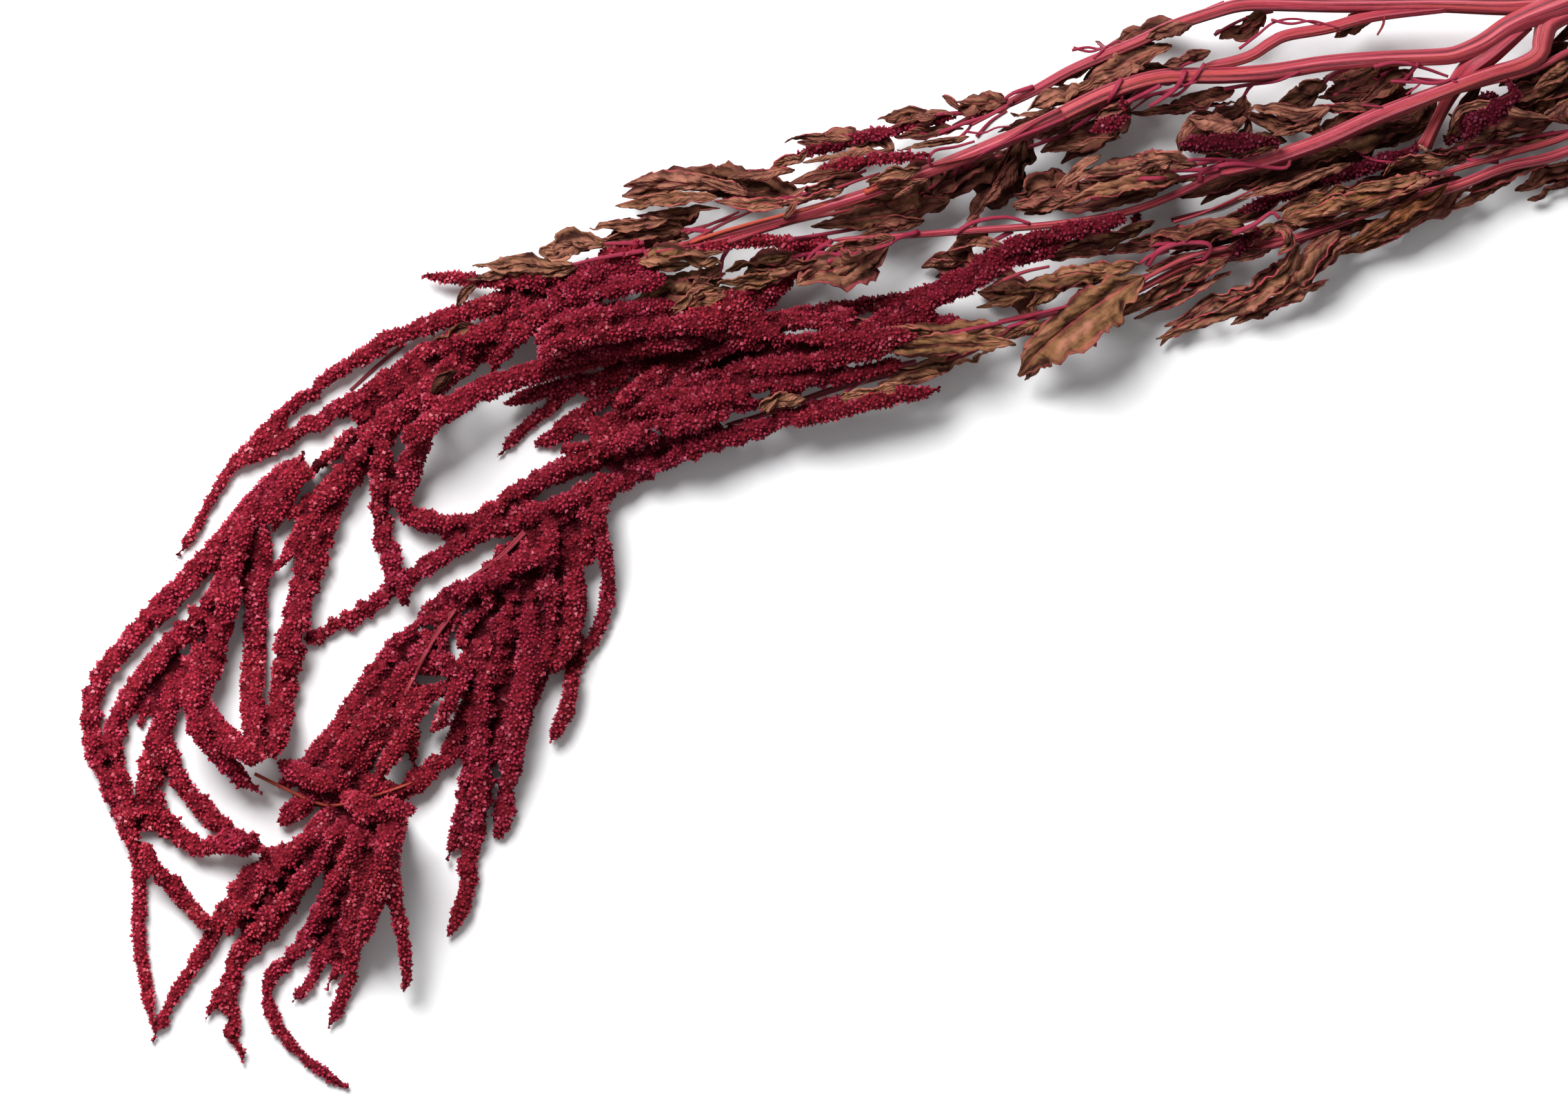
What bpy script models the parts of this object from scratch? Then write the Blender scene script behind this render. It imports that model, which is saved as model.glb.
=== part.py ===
"""Dried tassel amaranth: one cut, branching flowering stem that lies on a surface.

Ridged stems carry crimson tassels, limp spikes covered with clumps of pointed florets, and dry crumpled
leaves with cut, waved edges. Everything is laid in the order of the tables below: a tassel or a leaf lies
on the surface, or on what was laid before it.

Lengths in the tables are millimetres on a plan grid seen from above, X to the right and Y up.
"""

import math
import random

import bmesh
import bpy
import numpy as np
from mathutils import Vector
from mathutils.bvhtree import BVHTree

MM = 0.001
ORIGIN_X = 362.7            # plan point that is the part's origin
ORIGIN_Y = 238.8
CLEARANCE = 0.6             # free space between pieces that lie on each other
STEP = 2.5                  # spacing of the points that a route is laid with
DRAPE_SLOPE = 0.5           # steepest rise or fall of a laid tassel
FALL_LENGTH = 45.0          # length over which a tassel sinks from its root
HUNG_REACH = 22.0           # a head ignores its own stem this far from where it hangs
ROOT_REACH = 16.0           # length from its root over which a tassel ignores its parent
PRESSED = 0.8               # share of two radii at which tassels of one head lie pressed together
BRIDGE = 4.0                # a tassel stays level this far past a stem or a leaf that it lies on

RING_STEP = 3               # laid points between the rings of a tassel
CLUMP_OUT = 1.22            # floret clumps stand out past the tassel's mean radius
CLUMP_LOW = 0.84            # every second ring of clumps is this much smaller
CLUMP_TURN = math.pi / 4    # and is turned, so that clumps lie between those of the rings beside it
TIP_SHARE = 0.35            # radius of a tassel's last ring, as a share of the one it would have
ROOT_SHARE = 0.6            # and of the first ring of one that grows from no other tassel

STEM_RING_STEP = 8          # laid points between the rings of a stem
PLAIN_STEM = 3.4            # a stem that starts at up to this radius is plain, a thicker one is ridged
RIDGE_OUT = 1.05
RIDGE_IN = 0.93

BLADE = 0.9                 # thickness of a dry leaf
STEM_REACH = 6.5            # how far to each side of a stem a leaf is bent clear of it
LEAF_REACH = 4.0            # and how far to each side of a tassel or of another leaf
NECK_HALF = 0.8             # half width where the blade meets its stalk
NECK_SHARE = 0.08           # share of a leaf's length that is this narrow
DROOP = 0.6                 # how much lower, in shares of its height, a leaf's tip is than its base
SEAT = 0.35                 # gap between a stalk and the stem that it grows from
STALK_RADIUS = 1.1
TIP_HALF = 0.6
BASEWARD = 0.85             # moves a blade's widest place towards its base
BLUNT = 0.65                # rounds a blade's outline
RIPPLE = 0.3                # height of the waves of a leaf's edge, as a share of its half width
WAVE = 0.1                  # and of those along its middle
WAVE_TURNS = 7.0
NOTCH = 0.26                # depth of the cuts in a leaf's edge, as a share of its width
BROAD = 7.6                 # a blade of more than this half width has four rows of faces, a slim one two
SAMPLE_SPLIT = 6            # parts that a triangle's side is cut in when a blade is sampled

CRIMSON = (0.27, 0.012, 0.035)
PINK_RED = (0.60, 0.10, 0.11)
DRY_BROWN = (0.17, 0.085, 0.04)

# Stems: name, rounding of the section, first and last radius, route of (x, y, height) from root to end
STEMS = (
    ("main", 3, 7.0, 4.7, ((692, 462, 7.4), (655, 443, 11), (620, 426, 16), (590, 412, 22), (568, 403, 26),
                           (545, 395, 28), (526, 385, 29))),
    ("main_rib", 1, 3.2, 2.4, ((575, 404, 27), (553, 396, 32), (538, 386, 33), (524, 383, 30))),
    ("upper", 3, 4.4, 2.6, ((529, 386, 29), (505, 384, 29), (475, 381.5, 30), (445, 378.2, 30), (418, 376, 30),
                            (396, 370.5, 30), (368, 356.5, 29), (345, 348.5, 28), (316, 339, 27),
                            (284, 329, 25), (255, 318, 23), (234, 315.2, 21))),
    ("lower_fork", 3, 3.8, 3.0, ((572, 404, 25), (562, 393, 26), (555, 383, 28), (540, 378, 30),
                                 (508, 369, 31), (482, 359, 30), (458, 348.5, 28), (440, 344, 26))),
    ("cut_branch", 2, 3.3, 2.9, ((530, 386, 28), (523, 376, 22), (517, 361, 19), (513, 354.5, 18))),
    ("top", 1, 3.6, 1.6, ((606, 420, 19), (580, 409, 21), (553, 402.5, 23), (520, 404, 25), (480, 403.5, 26),
                          (450, 404.3, 26), (420, 396.3, 25), (390, 380.5, 23), (370, 370.8, 22),
                          (347, 362, 21))),
    ("top_side", 1, 2.6, 1.6, ((512, 404, 25), (490, 397, 26), (467, 392, 27), (447, 384.8, 25), (425, 384, 22))),
    ("middle", 1, 2.4, 1.5, ((446, 346, 26), (430, 341, 24), (410, 333, 22), (380, 324.7, 21), (350, 321.3, 20),
                             (325, 320.5, 19), (301, 319, 18))),
    ("low", 1, 3.8, 1.5, ((672, 452, 9), (640, 412, 12), (605, 375, 15), (568, 352, 17), (540, 344.5, 18),
                          (505, 333.5, 18), (465, 318, 17), (425, 308, 15), (392, 294, 13), (360, 283, 12),
                          (330, 273, 11), (303, 267, 10), (275, 257, 9), (263, 253, 9))),
    ("low_twig", 1, 1.5, 1.0, ((470, 320, 17), (445, 319, 20), (428, 317, 20), (416, 311, 18))),
)

# Tassels: name, parent, first and last radius, height of the root, route of (x, y) from root to tip
OUTER_HEAD = (
    ("outer_core", None, 4.2, 4.8, 21, ((233.4, 315.1), (225, 313.4), (214, 306), (197, 296), (180, 284), (164, 272),
                                        (150, 260), (138, 249))),
    ("vert_right", "outer_core", 5.2, 4.6, 0, ((138, 249), (124, 231), (114.5, 208), (109, 188), (104.5, 168),
                                               (102, 148), (99, 131))),
    ("third_top", "outer_core", 4.2, 3.0, 0, ((190, 284), (167, 276.5), (150, 268), (134, 256.5), (121, 244),
                                              (106, 236))),
    ("third_chain", "third_top", 4.8, 4.0, 0, ((108, 237), (91, 221), (84, 198), (79, 176), (64, 156),
                                               (57.5, 138), (53, 115), (52, 104))),
    ("outer_lower", "third_chain", 4.4, 2.2, 0, ((93, 223), (76, 204), (57, 184), (44, 170.5), (33.5, 153),
                                                 (35, 133), (44, 111.5), (51, 92), (50.3, 70), (53, 50),
                                                 (55.8, 33))),
    ("outer_upper", "outer_core", 4.3, 1.6, 2, ((212, 302), (187, 297.5), (162, 290.5), (140, 282),
                                                 (119, 268.5), (100, 253), (83, 235.5), (71.5, 215.5),
                                                 (63, 202))),
    ("inner_chain", "outer_core", 4.0, 2.5, 2, ((200, 295), (175, 284.5), (157, 279), (134, 264.5),
                                                 (110, 250.5), (87, 237))),
    ("vert_left", "third_top", 4.3, 4.0, 0, ((113, 239), (98, 219), (93.8, 200), (92.7, 178), (91.7, 158),
                                             (92.5, 139), (96, 131))),
    ("second_chain", "third_chain", 4.2, 3.5, 0, ((91, 219), (80, 190), (66, 176), (51, 159.5), (41.8, 140),
                                                  (44.5, 119), (50, 101))),
    ("cross_chain", "third_chain", 4.8, 4.0, 0, ((84, 195), (78, 166), (72, 156), (76, 146), (89, 134),
                                                 (97, 131))),
    ("cross_low", "third_chain", 4.3, 3.0, 0, ((70, 165), (71, 148), (75, 138), (88, 124), (95, 118.5))),
    ("left_arc_high", "third_chain", 4.2, 3.0, 0, ((58, 140), (65, 122.5), (80, 107), (90, 99), (97, 97.5))),
    ("left_arc_low", "third_chain", 3.6, 3.2, 0, ((53, 118), (61, 106.5), (72, 99), (84, 100), (93, 103))),
    ("left_v", "outer_lower", 3.3, 2.6, 0, ((50, 99), (61.5, 87), (71, 75.5), (78, 69))),
    ("mass", "outer_core", 5.0, 4.4, 2, ((175, 272), (152, 262), (137, 250), (131, 242))),
    ("spiky", "mass", 3.0, 2.6, 0, ((130, 242), (111, 215), (98, 197))),
    ("loop_left", "outer_core", 3.9, 3.2, 0, ((141, 250), (138, 222), (141.5, 205), (148, 186))),
    ("loop_right", "outer_core", 3.2, 2.8, 0, ((160, 266), (152, 239), (147, 224))),
    ("tip_left", "outer_core", 4.0, 2.2, 3, ((220, 311), (208, 306), (186, 303.8), (165, 305), (153, 306.3))),
    ("back", "outer_core", 4.0, 3.6, 3, ((218, 307), (203, 296), (187, 284), (178, 270))),
)

LOWER_HEAD = (
    ("lower_core", None, 4.0, 5.0, 9, ((262.5, 252.7), (254, 248.6), (245, 243), (228, 234), (212, 224), (196, 214),
                                       (184, 205), (176, 194))),
    ("hub_core", "lower_core", 3.6, 3.2, 0, ((180, 200), (164, 184), (148, 156), (132, 130), (124, 114))),
    ("column_left", "lower_core", 4.3, 2.6, 0, ((185, 205), (174, 178), (171, 146), (169.5, 118),
                                                (163.7, 100), (162, 93.5))),
    ("column_right", "lower_core", 4.5, 3.3, 0, ((208, 220), (202, 180), (191, 152), (185.5, 131),
                                                 (182.5, 110), (180, 101.5))),
    ("sweep_top", "lower_core", 4.0, 3.6, 0, ((256, 249), (232, 243), (205, 236.5), (182, 222.5),
                                              (168, 215.5), (153, 217), (147, 220.5))),
    ("side_branch", "lower_core", 4.0, 2.5, 4, ((228, 234), (200, 222), (173, 212), (148, 196), (126, 181),
                                                (110, 173.3))),
    ("column_middle", "lower_core", 4.8, 3.0, 6, ((196, 212), (183, 178), (177, 146), (174.5, 118),
                                                  (170.5, 98), (169, 82), (162.5, 66))),
    ("column_fourth", "lower_core", 4.0, 3.4, 3, ((202, 213), (196, 191), (190, 172), (186, 150), (182, 128))),
    ("column_short", "lower_core", 4.0, 3.4, 4, ((214, 225), (208, 178), (200, 162))),
    ("column_free", "lower_core", 3.0, 2.0, 0, ((216, 226), (220.5, 196), (218.5, 180), (207.5, 162),
                                                (206.5, 148), (199.5, 137.5))),
    ("hub_left", "hub_core", 4.0, 3.8, 0, ((163, 184), (146, 173), (134, 158), (122, 140), (108, 125),
                                           (101, 121))),
    ("hub_right", "hub_core", 4.0, 3.8, 0, ((162, 176), (157, 164), (146, 150), (131, 131), (117, 111))),
    ("hub_middle", "hub_core", 4.5, 4.0, 1, ((158, 176), (143, 157), (129, 138), (114, 119), (101, 107))),
    ("hub_drop", "hub_core", 3.5, 3.0, 0, ((158, 170), (164, 160), (150, 148), (150.5, 127))),
    ("hub_tip", "hub_core", 2.5, 1.7, 1, ((160, 172), (166, 158), (159, 144), (156, 138.5))),
    ("hub_arm", "column_left", 3.7, 3.4, 1, ((172, 152), (163, 134), (153, 124), (139, 114))),
    ("knot_high", "hub_core", 4.4, 3.8, 1, ((128, 122), (142, 119), (150, 121))),
    ("knot_left", "hub_core", 4.4, 3.8, 1, ((128, 122), (113, 124), (101, 130))),
    ("knot_low", "hub_core", 4.4, 3.8, 1, ((125, 112), (136, 110), (147, 110))),
    ("fan_left", "hub_core", 5.0, 2.2, 1, ((124, 115), (105, 92), (93, 72), (85, 56), (83.5, 40), (86.5, 25),
                                           (88.5, 20.5))),
    ("fan_inner", "fan_left", 4.0, 2.4, 0, ((116, 105), (111, 91), (104, 79), (91, 58))),
    ("fan_spur", "fan_left", 2.5, 1.5, 0, ((85, 56), (77.5, 41.5), (74, 34.5))),
    ("fan_long", "knot_low", 4.0, 1.6, 0, ((126, 112), (118, 76), (108, 61.5), (98.5, 52), (98, 41),
                                           (103.5, 29.5), (113, 20.5), (128, 10.3))),
    ("fan_third", "knot_low", 3.6, 2.0, 0, ((129, 112), (121, 70), (113, 52.5), (106, 42.5))),
    ("fan_fourth", "knot_low", 3.3, 1.8, 0, ((132, 111), (125, 66), (118.3, 46.5))),
    ("fan_fifth", "knot_low", 4.0, 2.0, 0, ((135, 110), (131, 84), (128.5, 65), (126.5, 50), (119, 33.5))),
    ("fan_sixth", "knot_low", 4.0, 2.8, 0, ((139, 110), (135, 82), (131, 64))),
    ("knot_over", "hub_core", 4.2, 3.6, 0, ((126, 117), (139, 113), (151, 114))),
    ("fan_right", "knot_low", 3.8, 2.0, 0, ((143, 111), (142.5, 90), (146, 70), (148, 52.5), (146, 46.5))),
    ("v_right", "fan_left", 4.4, 1.6, 0, ((107, 95), (98, 94), (82, 76), (75, 63), (67.5, 52), (60, 39),
                                          (54, 25.5))),
    ("low_edge", "lower_core", 3.6, 2.8, 2, ((226, 233), (250, 243), (275, 250.5), (300, 259), (325, 263))),
)

MIDDLE_HEAD = (
    ("middle_seventh", None, 3.8, 3.4, 0, ((300, 268), (270, 260.5), (240, 253), (214, 245.5), (204, 242.5))),
    ("middle_sixth", None, 4.0, 2.6, 0, ((306, 274), (275, 268), (246, 260), (218, 252.5), (193, 245))),
    ("middle_fifth", None, 4.0, 3.0, 0, ((300, 279), (270, 274), (244, 266), (223, 257))),
    ("middle_fourth", None, 3.8, 2.0, 0, ((296, 284), (264, 280.5), (237, 273), (213, 265), (195, 255),
                                           (180, 240))),
    ("middle_core", None, 3.6, 4.6, 18, ((300.4, 318.95), (293, 316), (286, 307), (277, 297), (264, 290), (248, 284),
                                         (232, 278), (218, 275))),
    ("middle_top", "middle_core", 2.8, 2.0, 1, ((292, 317.5), (275, 318.5), (255, 315), (242, 311))),
    ("middle_first", "middle_core", 4.3, 3.8, 2, ((283, 299), (258, 295), (232, 293), (208, 289.5), (194, 281))),
    ("middle_third", "middle_core", 4.6, 4.0, 2, ((276, 291), (246, 283.5), (218, 277.5), (194, 271), (172, 263),
                                                  (154, 251), (145, 246))),
    ("middle_long", "middle_core", 3.7, 3.0, 2, ((252, 282), (280, 289.5), (305, 293.5), (330, 297.5),
                                                 (350, 306), (368, 316.5), (392, 322.5), (408, 327))),
    ("middle_second", "middle_core", 4.0, 3.8, 3, ((276, 293), (243, 288), (214, 284), (195, 277))),
    ("middle_beside", "middle_long", 3.2, 2.4, 0, ((284, 290), (306, 288.5), (328, 293), (347, 300.5),
                                                   (366, 310), (386, 316.5))),
    ("middle_spur", "middle_long", 3.0, 2.4, 0, ((300, 293), (318, 288), (335, 290.5), (350, 288))),
)

HEADS = (("tassels_lower", LOWER_HEAD), ("tassels_outer", OUTER_HEAD), ("tassels_middle", MIDDLE_HEAD))

# Small tassels beside the leafy stems, one solid each: name, first and last radius, route
SIDE_TASSELS = (
    ("side_tassel_top", 2.6, 1.8, ((344, 363), (325, 358.5), (300, 352.5), (288, 349))),
    ("side_tassel_second", 2.4, 1.8, ((336, 349.5), (322, 348), (308, 346.5), (296, 344))),
    ("side_tassel_right", 3.0, 2.2, ((512, 351), (495, 345), (470, 337), (447, 328))),
    ("side_tassel_mid", 2.5, 2.0, ((462, 353), (445, 355), (426, 353))),
    ("side_tassel_upright", 3.0, 2.4, ((408, 362.5), (401, 360), (393, 357))),
    ("side_tassel_dark", 3.6, 3.0, ((548, 370), (539, 364), (529, 354))),
    ("side_tassel_drop", 1.8, 1.5, ((397, 294), (394, 286), (392.5, 278.5))),
)

# Leaves: node, lies under or over the stems, half width, height of the middle, route from base to tip
LEAVES = (
    ("leaf_top_a", "over", 4.8, 22, ((366, 367), (356, 368.5), (345, 365))),
    ("leaf_top_b", "resting", 3.8, 20, ((342, 362.5), (330, 364), (318, 359.5))),
    ("leaf_top_c", "under", 4.6, 12, ((322, 354), (305, 355), (285, 352))),
    ("leaf_top_d", "under", 4.0, 12, ((388, 367), (377, 363), (365, 360))),
    ("leaf_big_left", "under", 10.0, 12, ((294, 331), (270, 337.5), (246, 338.5), (221, 332))),
    ("leaf_left_b", "under", 7.0, 9, ((250, 326), (232, 321.5), (213, 317))),
    ("leaf_left_tan", "resting", 4.3, 24, ((222, 315), (210, 317), (196, 314))),
    ("leaf_left_strip", "resting", 3.6, 24, ((212, 310), (190, 309), (168, 309))),
    ("leaf_olive_a", "resting", 4.6, 26, ((262, 310), (247, 312.5), (232, 310.5))),
    ("leaf_olive_b", "resting", 5.0, 30, ((261, 304.5), (246, 302), (230, 303.5))),
    ("leaf_olive_c", "resting", 4.8, 25, ((260, 301), (246, 299), (235, 297))),
    ("leaf_olive_right", "resting", 5.0, 30, ((293, 312), (281, 308), (270, 306.5))),
    ("leaf_centre", "over", 8.4, 26, ((322, 314.5), (305, 309), (289, 302))),
    ("leaf_dark_large", "under", 10.6, 12, ((350, 342), (334, 335.5), (317, 330), (298, 327))),
    ("leaf_dark_long", "under", 6.6, 12, ((372, 353), (362, 339), (350, 326))),
    ("leaf_gap_a", "under", 4.2, 7, ((358, 309), (346, 310.5), (334, 309))),
    ("leaf_gap_b", "under", 3.6, 6, ((370, 303), (361, 299.5), (352, 298))),
    ("leaf_big_olive", "over", 11.0, 18, ((410, 302), (396, 294), (383, 283), (372, 268))),
    ("leaf_olive_lobe", "over", 5.4, 18, ((410, 309), (396, 307.5), (380, 304.5), (365, 299.5))),
    ("leaf_long_tan", "over", 4.8, 15, ((368, 288), (350, 286), (328, 284.5), (311, 281.5), (297, 279.5))),
    ("leaf_low_tan", "over", 3.8, 14, ((362, 277), (340, 273.5), (317, 271))),
    ("leaf_low_end", "resting", 3.6, 11, ((294, 263), (283, 259), (273, 258))),
    ("leaf_low_mid", "resting", 3.0, 12, ((328, 264), (316, 262.5), (305, 261))),
    ("leaf_tan_pink", "under", 5.4, 6, ((447, 312), (428, 303), (406, 293))),
    ("leaf_long_tip", "under", 5.6, 7, ((472, 317), (463, 308), (450, 300.5), (434, 293), (418, 284))),
    ("leaf_second_tip", "under", 5.0, 7, ((489, 322), (482, 314), (474, 304), (458, 293))),
    ("leaf_right_olive", "over", 5.2, 26, ((490, 334), (477, 330.5), (464, 326.5))),
    ("leaf_right_wavy", "over", 4.4, 26, ((521, 342), (509, 338.5), (496, 336.5))),
    ("leaf_orange", "under", 6.0, 7, ((534, 341), (521, 331.5), (508, 324.5), (495, 318))),
    ("leaf_right_b", "under", 4.8, 9, ((530, 351), (515, 347), (500, 344))),
    ("leaf_folded", "under", 8.2, 12, ((451, 365), (438, 358.5), (423, 350))),
    ("leaf_round", "under", 8.4, 12, ((480, 371), (469, 366.5), (457, 359.5))),
    ("leaf_under_b", "under", 7.2, 16, ((506, 381), (494, 376), (480, 371))),
    ("leaf_hang_a", "under", 4.4, 14, ((458, 399), (449, 395), (439, 391))),
    ("leaf_hang_b", "under", 4.4, 15, ((497, 402), (489, 396), (482, 390))),
    ("leaf_mass_high", "under", 7.8, 12, ((434, 398), (414, 394.5), (394, 387.5))),
    ("leaf_mass_low", "under", 6.6, 12, ((430, 381), (408, 376.5), (384, 370))),
    ("leaf_mid_a", "under", 7.2, 12, ((410, 364), (394, 358), (377, 351))),
    ("leaf_row_a", "over", 6.0, 30, ((430, 347), (413, 345), (395, 341))),
    ("leaf_row_b", "under", 6.4, 11, ((424, 346), (405, 341), (386, 337))),
    ("leaf_row_c", "under", 6.5, 10, ((388, 342), (378, 337), (366, 331))),
    ("leaf_edge_a", "under", 6.6, 10, ((566, 365), (546, 363), (527, 357))),
    ("leaf_edge_b", "under", 7.6, 14, ((576, 382), (562, 375), (546, 370))),
    ("leaf_edge_c", "under", 5.0, 7, ((576, 348), (563, 342), (549, 337))),
    ("leaf_dark_low", "over", 6.7, 24, ((455, 325), (432, 320), (412, 314))),
    ("leaf_dark_under", "under", 9.4, 12, ((517, 368), (500, 361), (484, 353))),
)


def clear_scene():
    """Take away whatever the file opened with."""
    for thing in list(bpy.data.objects):
        bpy.data.objects.remove(thing, do_unlink=True)


def material(name, colour, roughness):
    """A plain Principled material for one kind of dry tissue."""
    made = bpy.data.materials.new(name)
    made.use_nodes = True
    shader = made.node_tree.nodes["Principled BSDF"]
    shader.inputs["Base Color"].default_value = (*colour, 1.0)
    shader.inputs["Roughness"].default_value = roughness
    shader.inputs["Metallic"].default_value = 0.0
    made.diffuse_color = (*colour, 1.0)
    return made


def smooth_route(points, step=STEP):
    """Evenly spaced points on a Catmull-Rom curve through the given ones."""
    knots = np.array(points, dtype=float)
    before = 2 * knots[0] - knots[1]
    after = 2 * knots[-1] - knots[-2]
    padded = np.vstack((before, knots, after))
    dense = []
    for index in range(1, len(padded) - 2):
        a, b, c, d = padded[index - 1:index + 3]
        for share in np.linspace(0.0, 1.0, 16, endpoint=False):
            square = share * share
            cube = square * share
            dense.append(0.5 * (2 * b + (c - a) * share + (2 * a - 5 * b + 4 * c - d) * square
                                + (3 * b - a - 3 * c + d) * cube))
    dense.append(padded[-2])
    dense = np.array(dense)
    lengths = np.concatenate(([0.0], np.cumsum(np.linalg.norm(np.diff(dense, axis=0), axis=1))))
    count = max(3, int(round(lengths[-1] / step)) + 1)
    places = np.linspace(0.0, lengths[-1], count)
    return np.column_stack([np.interp(places, lengths, column) for column in dense.T])


class Pile:
    """Everything laid so far, as small balls that later pieces have to clear."""

    def __init__(self):
        self.balls = np.zeros((0, 4))
        self.nodes = np.zeros(0, dtype=object)
        self.strands = np.zeros(0, dtype=object)
        self.firm = np.zeros(0, dtype=bool)

    def add(self, node, strand, points, radii, firm):
        """Remember a laid piece under the names of its node and its strand."""
        self.firm = np.concatenate((self.firm, np.full(len(points), firm)))
        count = len(points)
        self.balls = np.vstack((self.balls, np.column_stack((points, radii))))
        self.nodes = np.concatenate((self.nodes, np.full(count, node, dtype=object)))
        self.strands = np.concatenate((self.strands, np.full(count, strand, dtype=object)))

    def height_over(self, x, y, radius, node, parent, root, hung):
        """Lowest height at which a ball of this radius clears what lies below it.

        Within its own head a tassel presses into what it lies on, and it ignores its parent near its root.
        """
        apart = np.hypot(self.balls[:, 0] - x, self.balls[:, 1] - y)
        own = self.nodes == node
        touching = self.balls[:, 3] + radius
        reach = np.where(own, PRESSED * touching, touching * CLUMP_OUT + CLEARANCE)
        from_root = np.hypot(self.balls[:, 0] - root[0], self.balls[:, 1] - root[1])
        near = (apart < reach) & ~((self.strands == parent) & own & (from_root < ROOT_REACH))
        firm = ~own & self.firm & (apart < reach + BRIDGE)
        if hung:
            holder = (self.nodes == "stem") & (from_root < HUNG_REACH)
            near &= ~holder
            firm &= ~holder
        lowest = radius
        if near.any():
            lift = np.sqrt(reach[near] ** 2 - apart[near] ** 2)
            lowest = max(lowest, float((self.balls[near, 2] + lift).max()))
        if firm.any():
            lowest = max(lowest, float((self.balls[firm, 2] + reach[firm]).max()))
        return lowest


def object_from_curve(name, centres, radii, resolution, turn):
    """A closed tube made from a bevelled curve, as a mesh whose rings keep their order."""
    curve = bpy.data.curves.new(name, "CURVE")
    curve.dimensions = "3D"
    curve.twist_mode = "Z_UP"
    curve.bevel_depth = MM
    curve.bevel_resolution = resolution
    curve.use_fill_caps = True
    spline = curve.splines.new("POLY")
    spline.points.add(len(centres) - 1)
    for index, point in enumerate(spline.points):
        centre = centres[index]
        point.co = ((centre[0] - ORIGIN_X) * MM, (centre[1] - ORIGIN_Y) * MM, centre[2] * MM, 1.0)
        point.radius = radii[index]
        point.tilt = turn * (index % 2)
    drawn = bpy.data.objects.new(name, curve)
    bpy.context.scene.collection.objects.link(drawn)
    bpy.context.view_layer.update()
    graph = bpy.context.evaluated_depsgraph_get()
    mesh = bpy.data.meshes.new_from_object(drawn.evaluated_get(graph))
    bpy.data.objects.remove(drawn, do_unlink=True)
    bpy.data.curves.remove(curve)
    return mesh


def tube(name, centres, radii, resolution, turn, relief):
    """A tube whose rings turn to and fro and follow a relief rule, with its caps welded."""
    mesh = object_from_curve(name, centres, radii, resolution, turn)
    sides = 4 + 2 * resolution
    last = len(centres) - 1
    for index, vertex in enumerate(mesh.vertices):
        if index < sides:
            ring, side = last, index
        elif index < 2 * sides:
            ring, side = 0, index - sides
        else:
            ring, side = divmod(index - 2 * sides, sides)
        centre = centres[ring]
        middle = ((centre[0] - ORIGIN_X) * MM, (centre[1] - ORIGIN_Y) * MM, centre[2] * MM)
        share = relief(ring, side)
        for axis in range(3):
            vertex.co[axis] = middle[axis] + (vertex.co[axis] - middle[axis]) * share
        vertex.co.z = max(vertex.co.z, 0.0)
    shell = bmesh.new()
    shell.from_mesh(mesh)
    bmesh.ops.remove_doubles(shell, verts=shell.verts, dist=1e-6)
    bmesh.ops.triangulate(shell, faces=shell.faces)
    bmesh.ops.recalc_face_normals(shell, faces=shell.faces)
    shell.to_mesh(mesh)
    shell.free()
    made = bpy.data.objects.new(name, mesh)
    bpy.context.scene.collection.objects.link(made)
    return made


def clump_relief(ring, side):
    """The four corners of each ring are clumps of florets, and every second ring stands out more."""
    return CLUMP_OUT if ring % 2 else CLUMP_OUT * CLUMP_LOW


def ridge_relief(ring, side):
    """Every second side of a stem is a ridge that runs along it."""
    return RIDGE_OUT if side % 2 else RIDGE_IN


def plain_relief(ring, side):
    """A thin stem is plain."""
    return 1.0


def keep_largest(mesh):
    """Fill the small hollows that joining seals, and drop loose scraps: only the largest shell stays."""
    body = bmesh.new()
    body.from_mesh(mesh)
    unseen = set(body.verts)
    shells = []
    while unseen:
        shell = set()
        front = {unseen.pop()}
        while front:
            vertex = front.pop()
            shell.add(vertex)
            linked = {edge.other_vert(vertex) for edge in vertex.link_edges} & unseen
            unseen -= linked
            front |= linked
        shells.append(shell)
    shells.sort(key=len)
    for shell in shells[:-1]:
        bmesh.ops.delete(body, geom=list(shell), context="VERTS")
    body.to_mesh(mesh)
    body.free()


def fuse(node, pieces, collection, finish):
    """Join overlapping solids into one closed body in the part's collection."""
    body = pieces[0]
    if len(pieces) > 1:
        others = bpy.data.collections.new(node + "_others")
        bpy.context.scene.collection.children.link(others)
        for piece in pieces[1:]:
            bpy.context.scene.collection.objects.unlink(piece)
            others.objects.link(piece)
        join = body.modifiers.new("join", "BOOLEAN")
        join.operation = "UNION"
        join.operand_type = "COLLECTION"
        join.collection = others
        join.solver = "MANIFOLD"
        bpy.context.view_layer.update()
        graph = bpy.context.evaluated_depsgraph_get()
        joined = bpy.data.meshes.new_from_object(body.evaluated_get(graph))
        body.modifiers.remove(join)
        keep_largest(joined)
        body.data = joined
        for piece in pieces[1:]:
            bpy.data.objects.remove(piece, do_unlink=True)
        bpy.data.collections.remove(others)
    bpy.context.scene.collection.objects.unlink(body)
    collection.objects.link(body)
    body.name = node
    body.data.name = node
    body.data.materials.clear()
    body.data.materials.append(finish)
    return body


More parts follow.
